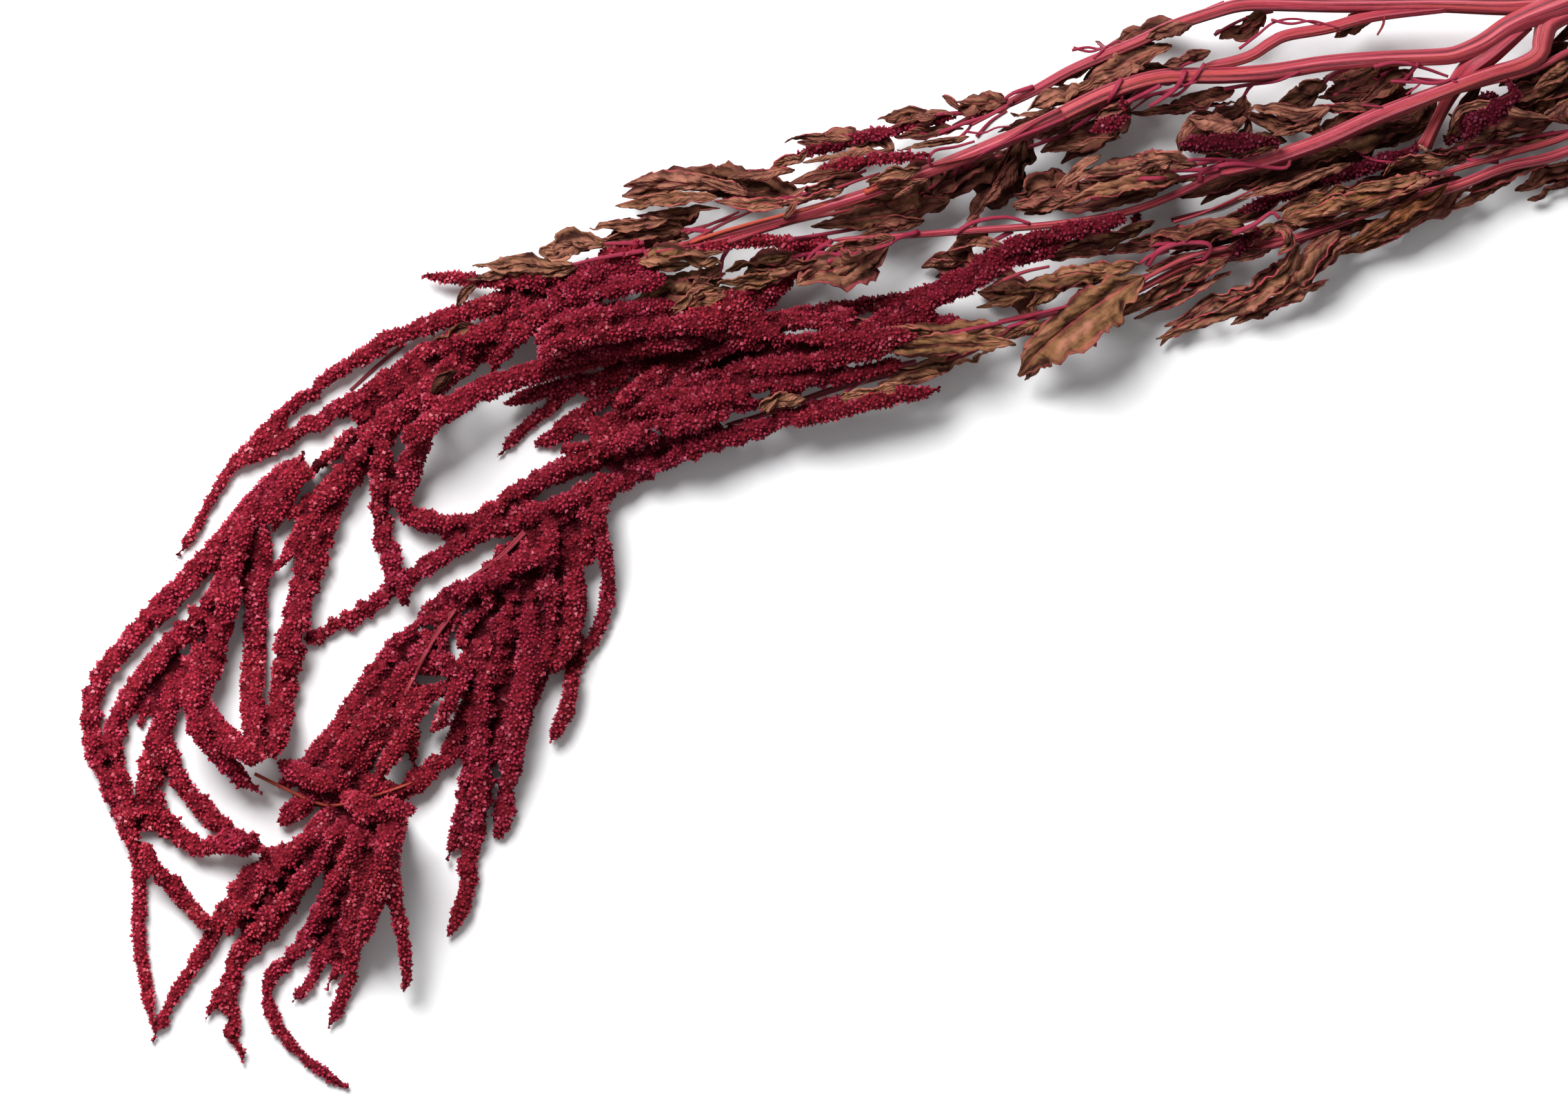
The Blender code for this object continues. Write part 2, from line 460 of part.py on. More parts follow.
def lay_tassel(node, tassel, pile, laid):
    """Centre line of one tassel: it leaves its parent, then sinks onto what lies below it."""
    name, parent, start_radius, end_radius, lift, route = tassel
    plan = list(route)
    root_height = lift
    if parent:
        line = laid[parent]
        apart = np.hypot(line[:, 0] - plan[0][0], line[:, 1] - plan[0][1])
        nearest = line[int(apart.argmin())]
        plan[0] = (float(nearest[0]), float(nearest[1]))
        root_height = float(nearest[2])
    flat = smooth_route(plan)
    count = len(flat)
    along = np.arange(count) / (count - 1)
    radii = start_radius + (end_radius - start_radius) * along
    level = 0.0 if parent else RING_STEP * STEP
    fall = np.exp(-np.maximum(np.arange(count) * STEP - level, 0.0) / FALL_LENGTH)
    heights = radii + (max(root_height, radii[0]) - radii[0] + (lift if parent else 0.0)) * fall
    if parent:
        heights[0] = root_height
    hung = not parent and lift > 0.0
    for index in range(1 if parent or hung else 0, count):
        x, y = flat[index]
        low = pile.height_over(x, y, radii[index], node, parent, flat[0], hung)
        heights[index] = max(heights[index], low)
    for index in range(1, count):
        heights[index] = max(heights[index], heights[index - 1] - DRAPE_SLOPE * STEP)
    for index in range(count - 2, 0, -1):
        heights[index] = max(heights[index], heights[index + 1] - DRAPE_SLOPE * STEP)
    return np.column_stack((flat, heights)), radii


def build_head(node, tassels, pile, collection, finish, stem_tree=None):
    """One head of tassels, fused where they grow from each other."""
    laid = {}
    pieces = []
    for tassel in tassels:
        name = tassel[0]
        centres, radii = lay_tassel(node, tassel, pile, laid)
        laid[name] = centres
        pile.add(node, name, centres, radii, False)
        picked = list(range(0, len(centres) - 1, RING_STEP))
        if len(centres) - 1 - picked[-1] < 2:
            picked.pop()
        picked.append(len(centres) - 1)
        ring_radii = radii[picked].copy()
        ring_radii[-1] *= TIP_SHARE
        if tassel[1] is None:
            ring_radii[0] *= ROOT_SHARE
        rings = centres[picked]
        if stem_tree:
            start, stalk = seat_on_stem(rings[0], stem_tree)
            if stalk > ring_radii[0] + SEAT:
                rings = np.vstack((start, rings))
                ring_radii = np.concatenate(((STALK_RADIUS,), ring_radii))
        pieces.append(tube(name, rings, ring_radii, 0, CLUMP_TURN, clump_relief))
    return fuse(node, pieces, collection, finish)


def build_stem(pile, collection, finish):
    """The branching stem: ridged tubes that grow out of each other."""
    pieces = []
    for name, rounding, start_radius, end_radius, route in STEMS:
        centres = smooth_route(route)
        along = np.arange(len(centres)) / (len(centres) - 1)
        radii = start_radius + (end_radius - start_radius) * along
        pile.add("stem", name, centres, radii, True)
        picked = list(range(0, len(centres) - 1, STEM_RING_STEP))
        if len(centres) - 1 - picked[-1] < 3:
            picked.pop()
        picked.append(len(centres) - 1)
        relief = ridge_relief if start_radius > PLAIN_STEM else plain_relief
        pieces.append(tube(name, centres[picked], radii[picked], rounding, 0.0, relief))
    return fuse("stem", pieces, collection, finish)


def leaf_half_width(along, half):
    """Half width of a blade: a narrow neck, then a pointed oval."""
    if along < NECK_SHARE:
        return NECK_HALF
    share = (along - NECK_SHARE) / (1.0 - NECK_SHARE)
    return TIP_HALF + (half - TIP_HALF) * math.sin(math.pi * share ** BASEWARD) ** BLUNT


def leaf_point(along, across, half, height, rib, draw):
    """A point of the crumpled blade, before it is bent clear of its neighbours."""
    place = along * (len(rib) - 1)
    index = min(int(place), len(rib) - 2)
    centre = rib[index] + (rib[index + 1] - rib[index]) * (place - index)
    heading = rib[index + 1] - rib[index]
    heading = heading / np.linalg.norm(heading)
    width = leaf_half_width(along, half)
    notch = 1.0 + NOTCH * math.sin(draw[0] + along * draw[1] + across) * abs(across)
    x = centre[0] - heading[1] * across * width * notch
    y = centre[1] + heading[0] * across * width * notch
    ripple = RIPPLE * math.sin(draw[2] + along * draw[3]) * across * width
    cup = draw[4] * across * across * width
    wave = WAVE * half * math.sin(draw[5] + along * WAVE_TURNS)
    droop = height * DROOP * (0.5 - along)
    return x, y, height + droop + ripple + cup + wave


def bend_clear(point, side, pile):
    """Move a leaf's point above or below the stems and above what it lies on."""
    x, y, z = point
    half = 0.5 * BLADE
    apart = np.hypot(pile.balls[:, 0] - x, pile.balls[:, 1] - y)
    is_stem = pile.nodes == "stem"
    near = apart < pile.balls[:, 3] + np.where(is_stem, STEM_REACH, LEAF_REACH)
    stems = near & is_stem
    others = near & ~is_stem
    if side != "under":
        if (stems | others).any():
            tops = pile.balls[stems | others, 2] + pile.balls[stems | others, 3] * CLUMP_OUT
            z = max(z, float(tops.max()) + CLEARANCE + half)
        return x, y, max(z, half)
    if others.any():
        tops = pile.balls[others, 2] + pile.balls[others, 3] * CLUMP_OUT
        z = max(z, float(tops.max()) + CLEARANCE + half)
    if stems.any():
        bottoms = pile.balls[stems, 2] - pile.balls[stems, 3]
        z = min(z, float(bottoms.min()) - CLEARANCE - half)
    return x, y, max(z, half)


def surface_tree(piece):
    """The surface of a finished piece, for finding places on it."""
    return BVHTree.FromObject(piece, bpy.context.evaluated_depsgraph_get())


def seat_on_stem(point, stem_tree):
    """Where a stalk that ends at the point starts: just off the nearest place on the stem."""
    place = Vector(((point[0] - ORIGIN_X) * MM, (point[1] - ORIGIN_Y) * MM, point[2] * MM))
    nearest = stem_tree.find_nearest(place)[0]
    away = place - nearest
    start = nearest + away.normalized() * SEAT * MM
    return np.array((start.x / MM + ORIGIN_X, start.y / MM + ORIGIN_Y, start.z / MM)), away.length / MM


def blade_samples(sheet):
    """Points all over a triangulated sheet, close enough to lay other pieces on it."""
    samples = []
    for face in sheet.faces:
        corners = [np.array(vertex.co) for vertex in face.verts]
        for first in range(SAMPLE_SPLIT + 1):
            for second in range(SAMPLE_SPLIT + 1 - first):
                a = first / SAMPLE_SPLIT
                b = second / SAMPLE_SPLIT
                samples.append(corners[0] * (1 - a - b) + corners[1] * a + corners[2] * b)
    return np.array(samples) / MM + np.array((ORIGIN_X, ORIGIN_Y, 0.0))


def resting_drop(samples, trees):
    """How far a leaf can sink before it lies on what is under it."""
    drop = None
    for sample in samples:
        place = Vector(((sample[0] - ORIGIN_X) * MM, (sample[1] - ORIGIN_Y) * MM, (sample[2] - 0.6 * BLADE) * MM))
        for tree in trees:
            distance = tree.ray_cast(place, Vector((0.0, 0.0, -1.0)))[3]
            if distance is not None and (drop is None or distance < drop):
                drop = distance
    return 0.0 if drop is None else max(0.0, drop / MM - CLEARANCE)


def build_leaf(node, side, half, height, route, seed, pile, trees):
    """One crumpled blade with waved edges on its stalk, bent clear, then given its thickness."""
    rib = smooth_route(route, 2.0)
    length = 2.0 * (len(rib) - 1)
    draws = random.Random(seed)
    draw = (draws.uniform(0.0, 6.3), draws.uniform(14.0, 20.0), draws.uniform(0.0, 6.3),
            draws.uniform(9.0, 14.0), draws.uniform(-0.25, 0.45), draws.uniform(0.0, 6.3))
    columns = max(4, int(round(length / 8.0)))
    rows = 4 if half > BROAD else 2
    base = bend_clear(leaf_point(0.0, 0.0, half, height, rib, draw), side, pile)
    start, stalk = seat_on_stem(base, trees[0])
    stalked = side != "resting" and stalk > 1.5
    spread = rib[1] - rib[0]
    if stalked and math.hypot(base[0] - start[0], base[1] - start[1]) > 1.5:
        spread = np.array(base[:2]) - start[:2]
    spread = spread / np.linalg.norm(spread)
    sheet = bmesh.new()
    total = columns + (1 if stalked else 0)
    bmesh.ops.create_grid(sheet, x_segments=total, y_segments=rows, size=0.5)
    for vertex in sheet.verts:
        column = round((vertex.co.x + 0.5) * total) - (total - columns)
        across = 2.0 * vertex.co.y
        if column < 0:
            x = start[0] - spread[1] * across * NECK_HALF
            y = start[1] + spread[0] * across * NECK_HALF
            z = start[2]
        else:
            point = leaf_point(column / columns, across, half, height, rib, draw)
            x, y, z = bend_clear(point, side, pile)
            if column == 0:
                z = base[2]
        vertex.co = ((x - ORIGIN_X) * MM, (y - ORIGIN_Y) * MM, z * MM)
    bmesh.ops.triangulate(sheet, faces=sheet.faces)
    samples = blade_samples(sheet)
    if side == "resting":
        drop = resting_drop(samples, trees)
        samples[:, 2] -= drop
        bmesh.ops.translate(sheet, verts=sheet.verts, vec=(0.0, 0.0, -drop * MM))
    mesh = bpy.data.meshes.new(node)
    sheet.to_mesh(mesh)
    sheet.free()
    made = bpy.data.objects.new(node, mesh)
    bpy.context.scene.collection.objects.link(made)
    wall = made.modifiers.new("thickness", "SOLIDIFY")
    wall.thickness = BLADE * MM
    wall.offset = 0.0
    bpy.context.view_layer.update()
    graph = bpy.context.evaluated_depsgraph_get()
    made.data = bpy.data.meshes.new_from_object(made.evaluated_get(graph))
    made.modifiers.clear()
    for vertex in made.data.vertices:
        vertex.co.z = max(vertex.co.z, 0.0)
    return made, samples


def build_leaves(sides, pile, trees, collection, finish):
    """All leaves that lie on the given sides of the stems, a node for each."""
    for seed, (node, side, half, height, route) in enumerate(LEAVES):
        if side not in sides:
            continue
        made, samples = build_leaf(node, side, half, height, route, seed, pile, trees)
        pile.add(node, node, samples, np.full(len(samples), 0.5 * BLADE), True)
        trees.append(surface_tree(fuse(node, [made], collection, finish)))


def build_side_tassels(pile, trees, collection, finish):
    """Short tassels that grow from the leafy stems, one solid each."""
    for name, start_radius, end_radius, route in SIDE_TASSELS:
        strand = ((name, None, start_radius, end_radius, 0.0, route),)
        trees.append(surface_tree(build_head(name, strand, pile, collection, finish, trees[0])))


def main():
    """Build the whole part."""
    clear_scene()
    parts = bpy.data.collections.new("amaranth")
    bpy.context.scene.collection.children.link(parts)
    crimson = material("dry_florets", CRIMSON, 0.85)
    pink = material("dry_stem", PINK_RED, 0.6)
    brown = material("dry_leaf", DRY_BROWN, 0.8)
    pile = Pile()
    trees = [surface_tree(build_stem(pile, parts, pink))]
    build_leaves(("under",), pile, trees, parts, brown)
    for node, tassels in HEADS:
        trees.append(surface_tree(build_head(node, tassels, pile, parts, crimson)))
    build_side_tassels(pile, trees, parts, crimson)
    build_leaves(("over", "resting"), pile, trees, parts, brown)


main()
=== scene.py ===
"""Dried tassel amaranth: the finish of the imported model.

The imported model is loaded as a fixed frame. Its tassel nodes are covered with pointed florets, its stem is
drawn again with fine ridges, and each leaf becomes a thin crumpled blade with veins and torn edges.

Routes are written in millimetres on a plan grid seen from above, X to the right and Y up, with a height
where a piece doesn't simply lie on the others. Everything else is in metres.
"""

import math
import random

import bmesh
import bpy
import numpy as np
from bpy.props import FloatProperty, FloatVectorProperty, PointerProperty
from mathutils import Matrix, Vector, noise
from mathutils.bvhtree import BVHTree


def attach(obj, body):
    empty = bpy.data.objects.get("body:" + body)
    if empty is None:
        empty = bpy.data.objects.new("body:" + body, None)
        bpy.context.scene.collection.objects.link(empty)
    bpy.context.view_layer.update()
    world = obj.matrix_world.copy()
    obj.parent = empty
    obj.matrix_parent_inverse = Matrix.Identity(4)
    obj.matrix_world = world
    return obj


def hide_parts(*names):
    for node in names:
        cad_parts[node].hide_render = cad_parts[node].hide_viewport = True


bl_info = {
    "name": "Tassel Amaranth",
    "version": (1, 0, 0),
    "blender": (4, 5, 0),
    "location": "View3D > Sidebar > Amaranth",
    "description": "Dresses the packed amaranth with florets, ridged stems and crumpled leaves",
    "category": "Object",
}

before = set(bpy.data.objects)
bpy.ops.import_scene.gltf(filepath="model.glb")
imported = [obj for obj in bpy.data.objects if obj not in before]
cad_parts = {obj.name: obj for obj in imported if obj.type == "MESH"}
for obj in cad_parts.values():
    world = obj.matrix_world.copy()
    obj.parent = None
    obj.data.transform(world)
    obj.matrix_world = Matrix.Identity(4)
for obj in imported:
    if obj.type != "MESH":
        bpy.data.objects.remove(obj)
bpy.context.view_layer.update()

MM = 0.001
PLAN_ORIGIN = np.array((362.7, 238.8, 0.0))   # plan point of the frame's origin
PHOTO_WIDTH = 2274                            # pixels
PHOTO_HEIGHT = 1624
PIXEL = 0.25                                  # millimetres of plan to a pixel of the photograph
SENSOR = 36.0                                 # millimetres, the camera's sensor width
UP = np.array((0.0, 0.0, 1.0))
HIGH = 0.2                                    # metres, a height over everything
STEM_STEP = 2.5                               # millimetres between the cross sections of a stem
TWIG_STEP = 1.5                               # millimetres between those of a twig
PITH_STEP = 0.8                               # millimetres between those of a cut end
STRAND_STEP = 2.0                             # millimetres between those of a strand of a tassel
LOOSE_STEP = 4.0                              # millimetres between the spine points of a blade laid on others
BLADE_STEP = 0.0013                           # metres between the cross sections of a leaf
TIP = 5.0                                     # millimetres over which the end of a stem goes thin
THICK_STEM = 3.5                              # millimetres, a stem this thick at its root gets more sides
DRIFT = 0.037                                 # metres to a radian of the drift of a stem's ridges
GRAIN = 0.01                                  # metres of a stem to one unit of its grain
CURLS = (0.0055, 0.013, 0.0014)               # metres to a radian of the waves along a leaf's edge
PLEAT_DRIFT = 0.009                           # metres to a radian of the drift of its long folds
PLEATED = 0.85                                # width of a creased blade, as a share of its flat width
TORN = 0.45                                   # depth of the tears in a leaf's edge, as a share of its width
CORE_VOXEL = 0.0012                           # metres, the finest detail of a tassel's inner body
SHRUNK = 0.65                                 # a leaf of this size or smaller has no blades beside it
WIDE = 0.005                                  # metres, half width over which a blade is less creased
STEM_GAP = 0.0006                             # metres between a blade and a stem
FLOOR_GAP = 0.0008                            # metres, lowest height of a blade
SPINE_GAP = 0.002                             # metres, lowest height of a smaller blade's spine
LAID_RISE = 0.0015                            # metres, height of a spine over what it lies on
CUT = (-9.0, 80.0)                            # millimetres, bottom and top of a gap through a head
SIDE_SHARE = 0.6                              # share of the clumps' height on the side tassels
SIDE_SEED = 77                                # seed of their florets
LEAF_SEED = 100                               # seed of the first leaf's random draws
LOOSE_SEED = 7                                # seed of the loose blades' random draws
FLOOR_SIZE = 4.0                              # metres, half width of the floor
FLOOR_HEIGHT = -0.0002                        # metres
KEY_SIZE = 1.1                                # metres, width of the soft light
KEY_PLACE = (-0.82, 1.2, 1.75)                # metres

# Stems: name, how strongly ridged, route from root to end of (x, y, height, radius)
STEMS = (
    ("main", 1.0, ((692, 462, 7.4, 7.0), (655, 443, 11, 6.6), (620, 426, 16, 6.1), (590, 411, 22, 5.4),
                   (570, 405, 26, 4.8), (560, 401.5, 27, 4.4), (552, 398.3, 28, 3.8), (545, 394.8, 28, 3.8),
                   (538, 390, 28.5, 3.6), (532, 387.2, 29, 3.2), (525, 384.9, 29, 3.0), (515, 384.2, 29, 2.9),
                   (500, 383.6, 29.5, 2.8), (480, 382, 30, 2.8), (461, 379, 30, 2.9), (444, 377.7, 30, 2.8),
                   (420, 377, 30, 2.8), (400, 371, 30, 2.8), (375, 359, 29, 2.7), (346, 347, 28, 2.4),
                   (314, 335, 27, 2.1), (284, 326, 25, 1.9), (255, 318, 23, 1.6), (236, 314, 21, 1.4),
                   (218, 312.5, 19, 0.9))),
    ("lower_fork", 1.0, ((592, 410, 22, 3.0), (574, 403, 25, 3.2), (561, 397.5, 26, 3.9),
                         (558.2, 391, 27, 3.5), (556.8, 385.5, 28, 3.1), (550, 381.4, 29, 2.9),
                         (540, 378.5, 30.5, 2.7), (523, 372.4, 31.5, 2.8), (498, 362.8, 31, 3.0),
                         (480, 354.6, 30, 3.0), (461, 347.8, 28, 2.7), (449, 344.4, 27, 2.2),
                         (439, 342, 26, 1.3))),
    ("fork_side", 0.8, ((580, 392, 22, 1.0), (568, 386.8, 25, 1.2), (558, 381.5, 27, 1.3),
                        (548, 377.6, 29, 1.2), (538, 375, 30, 0.9), (526, 371, 31, 0.6))),
    ("cut_branch", 1.0, ((553, 396.5, 27, 2.2), (546, 391.3, 27.5, 3.2), (539, 385.8, 27.5, 3.8),
                         (532.5, 381.2, 26.5, 4.1), (528, 376.5, 24.5, 3.4), (524.5, 370.5, 21, 2.6),
                         (521.2, 364, 18.5, 2.2), (518, 357.5, 17.5, 2.3), (515.5, 352.5, 17.5, 2.8))),
    ("top", 1.0, ((606, 419, 19, 3.6), (580, 408, 21, 3.4), (553, 403, 23, 3.0), (520, 403.3, 25, 2.5),
                  (486, 403, 26, 2.3), (461, 403.5, 26, 2.3), (449, 403.2, 26, 2.3), (438, 400.2, 25.5, 2.2),
                  (424, 395.5, 25, 2.1), (412, 390, 24.5, 2.0), (399, 384.6, 23.5, 2.0),
                  (387, 379.3, 23, 1.9), (375, 372.6, 22, 1.8), (360, 365.5, 21, 1.4), (345, 360, 21, 0.9))),
    ("top_side", 1.0, ((525, 402.5, 25, 1.8), (498, 399.4, 26, 2.1), (481, 395, 26.5, 2.1),
                       (466, 392.3, 27, 2.1), (460, 389.5, 27.5, 2.1), (453, 385, 28, 2.0),
                       (445, 382.5, 28.5, 1.9), (435, 381, 29, 1.4))),
    ("middle", 0.8, ((448, 345, 26, 2.0), (439, 341.6, 25, 1.7), (429, 336.5, 24, 1.5), (414, 330.5, 22, 1.4),
                     (400, 327, 21, 1.3), (380, 324, 21, 1.3), (350, 321.8, 20, 1.25), (325, 320, 19, 1.1),
                     (301, 318.5, 18, 0.9))),
    ("low", 1.0, ((672, 452, 9, 3.6), (640, 412, 12, 3.2), (605, 371, 15, 2.6), (568, 351, 17, 2.0),
                  (545, 345, 18, 1.9), (528, 338.5, 18, 1.9), (505, 332, 18, 1.8), (465, 318, 17, 1.6),
                  (434, 311, 15, 1.3), (405, 297.5, 14, 1.2), (375, 290.5, 12, 1.1), (348, 277, 11, 1.4),
                  (325, 271, 11, 1.4), (303, 265, 10, 1.3), (275, 255, 9, 1.0), (263, 252, 9, 0.8))),
    ("low_beside", 0.7, ((600, 372, 17, 1.2), (568, 356.5, 19, 1.2), (545, 349.5, 20, 1.2),
                         (525, 343.5, 20, 1.0), (500, 334, 19, 0.7))),
    ("low_twig", 0.6, ((470, 320, 17, 1.1), (445, 316, 19, 1.0), (428, 311.5, 19, 0.9), (408, 301, 17, 0.7),
                       (392, 294, 14, 0.5))),
)

# Pale pith at the cut ends: route of (x, y, height, radius)
PITHS = (
    ((696, 464, 7.1, 5.6), (690.5, 461.3, 7.5, 5.6)),
    ((514.9, 351.2, 17.5, 2.1), (516.3, 354.4, 17.5, 2.1)),
)

# Twigs, leaf stalks and bare tassel stalks that lie on what is below: radius, colour, route.
# Colour 0 is the stems' own, 1 magenta, 2 orange red.
TWIGS = (
    (0.7, 1, ((443, 373), (452, 374.6), (462, 375.8), (470, 379))),
    (0.9, 1, ((429, 379.5), (426, 373.5), (420.4, 369.2), (416, 366.5))),
    (0.7, 1, ((398, 363), (410.7, 369.2), (421.5, 372), (433, 375.5))),
    (0.8, 1, ((406, 340.5), (421.5, 340.7), (432.2, 341.8), (441, 344))),
    (0.9, 1, ((434.4, 339.7), (435.5, 343.4), (447.3, 346), (464.5, 344.4), (467, 348.5))),
    (0.9, 1, ((446.2, 320.8), (453.7, 324), (460.2, 328.3), (463, 326))),
    (1.0, 1, ((415.5, 309.5), (419.3, 314.4), (426.9, 317.4), (436.5, 317.4), (438.4, 315), (435.5, 311.5))),
    (0.9, 0, ((410.7, 299.3), (416.1, 305.8), (426.9, 310), (436, 312))),
    (0.7, 0, ((424.7, 326.2), (432.2, 328.3), (443, 331), (452, 335))),
    (0.9, 1, ((528, 351.5), (533.3, 353.1), (550.5, 355.2), (570, 358.5))),
    (0.8, 1, ((500, 378), (506, 379.4), (512.9, 375.8), (520, 375), (527, 377))),
    (0.7, 1, ((497, 380.8), (505, 382.4), (515, 380.5), (524, 377.5))),
    (0.8, 1, ((232.8, 319.5), (233.2, 316), (235, 312.5))),
    (0.7, 0, ((246, 315.5), (255, 320.5), (263, 325), (273, 329.5))),
    (0.6, 0, ((249, 321), (259, 325), (268, 329))),
    (0.8, 1, ((287, 312.5), (297.5, 313.9), (305.4, 313.1), (314.3, 314.5), (323, 317))),
    (0.7, 1, ((300, 310.5), (304.5, 313), (302, 316), (296, 317.5))),
    (0.8, 1, ((345.5, 320.8), (353.3, 325.2), (364.5, 326.8), (373, 324.6))),
    (0.7, 0, ((363, 303.8), (371.2, 307), (380, 308.9))),
    (0.9, 0, ((362, 289), (370, 291), (378, 293))),
    (0.7, 1, ((340, 357), (349, 360.5), (358, 363.5), (367, 368.5))),
    (0.6, 1, ((346, 354), (351.5, 359.5), (353, 366))),
    (0.6, 1, ((354, 356.5), (359, 362), (365, 366))),
    (0.5, 1, ((388.5, 387.5), (394, 388.6), (399, 388), (405, 390.5))),
    (0.5, 1, ((448.5, 387.5), (455, 392.4), (461, 397), (469, 398.3), (478, 396))),
    (0.5, 1, ((460, 398), (467, 396.5), (475, 397.5), (484, 395))),
    (0.5, 0, ((501, 399.5), (500.5, 396), (498.4, 392.4))),
    (0.8, 1, ((406, 376.5), (399.7, 367), (389, 359), (376.4, 353.4), (361, 348.7), (347, 344.5))),
    (0.7, 0, ((384, 365.5), (375, 361), (365.5, 355), (353, 349), (338, 345.5))),
    (0.7, 1, ((420, 374), (408, 368), (394, 360), (383, 353))),
    (0.6, 1, ((436, 382), (430, 374), (425, 370.5), (418, 371), (409, 365))),
    (0.6, 1, ((483, 371), (492, 374.5), (501, 372.6), (509, 375))),
    (0.6, 1, ((513, 382), (509, 377), (503.5, 374.8), (497, 377.5))),
    (0.8, 1, ((318, 281.5), (335, 283), (352, 286.5), (370, 290.5), (388, 295))),
    (0.9, 0, ((190.5, 213), (181, 203.5), (170, 196))),
    (0.9, 0, ((165, 185), (157, 173.5), (151.5, 163), (147, 154))),
    (0.8, 0, ((264, 317.5), (277.5, 322), (291, 326), (309.5, 330), (328, 334.5))),
    (0.7, 2, ((247, 316.5), (262, 321.5), (280, 326.5), (300, 331.5))),
    (0.7, 1, ((286, 318.5), (300, 321), (318, 324.5), (338, 330))),
    (0.6, 0, ((238, 314), (252, 316.5), (268, 320), (284, 324.5))),
    (0.6, 2, ((92.5, 125.6), (102, 121), (115, 115.2), (123, 114.4), (135.5, 117.6), (149.8, 122.4))),
    (0.7, 0, ((147, 281.5), (137, 273.5), (127, 264.5))),
    (1.4, 2, ((323, 341), (318, 338), (313.5, 335.6))),
    (0.6, 1, ((430, 347), (440, 347.6), (449, 347.2), (456, 349.5))),
    (0.5, 1, ((432, 346), (442, 348.6), (449, 350.8), (455, 351.2))),
    (0.5, 0, ((425, 325), (436, 328.5), (447, 333.5), (456, 338))),
    (0.7, 0, ((516, 341.8), (521, 342.6), (526, 342.3))),
    (0.5, 1, ((486, 366.5), (492, 367.2), (500, 366.3))),
    (0.6, 1, ((504, 376), (512, 376.8), (520, 376.2), (527, 375.4))),
    (0.5, 1, ((503, 375.6), (509, 375.3), (513.5, 374.8), (511, 372.6), (508.5, 370.8))),
    (0.5, 1, ((396, 384), (401, 388.5), (405, 390.3), (409, 387.5), (406, 384))),
    (0.5, 1, ((398, 390), (403, 386.5), (409, 388.5), (414, 385))),
    (0.5, 1, ((389, 388.5), (395, 387), (401, 388.3), (407, 386.5), (412, 387))),
    (0.6, 1, ((440, 393), (446, 396.5), (453, 399.5), (461, 401))),
    (0.8, 1, ((280, 333), (290, 335), (300, 338), (308, 341.5), (314, 344))),
    (0.6, 0, ((303, 337), (311, 340), (319, 342.5))),
    (0.6, 1, ((330, 333.5), (338, 338), (347, 342.5), (355, 346))),
    (0.6, 1, ((341, 343), (336.5, 346.5), (338.5, 350.5), (346, 352), (353, 354))),
    (0.8, 1, ((349, 345), (356, 350), (366, 354.5), (376, 358.3), (386, 362.5))),
    (0.5, 1, ((330, 358), (340, 356.5), (347, 360), (353, 360.5))),
    (0.5, 0, ((352, 360), (358, 363), (365, 366.6))),
    (0.4, 1, ((350, 357.5), (356, 357), (361, 359), (366, 359.4))),
    (0.5, 0, ((247, 321.5), (257, 324.3), (268, 327.6))),
    (0.5, 1, ((489, 352), (497, 347.5), (506, 346.5))),
)

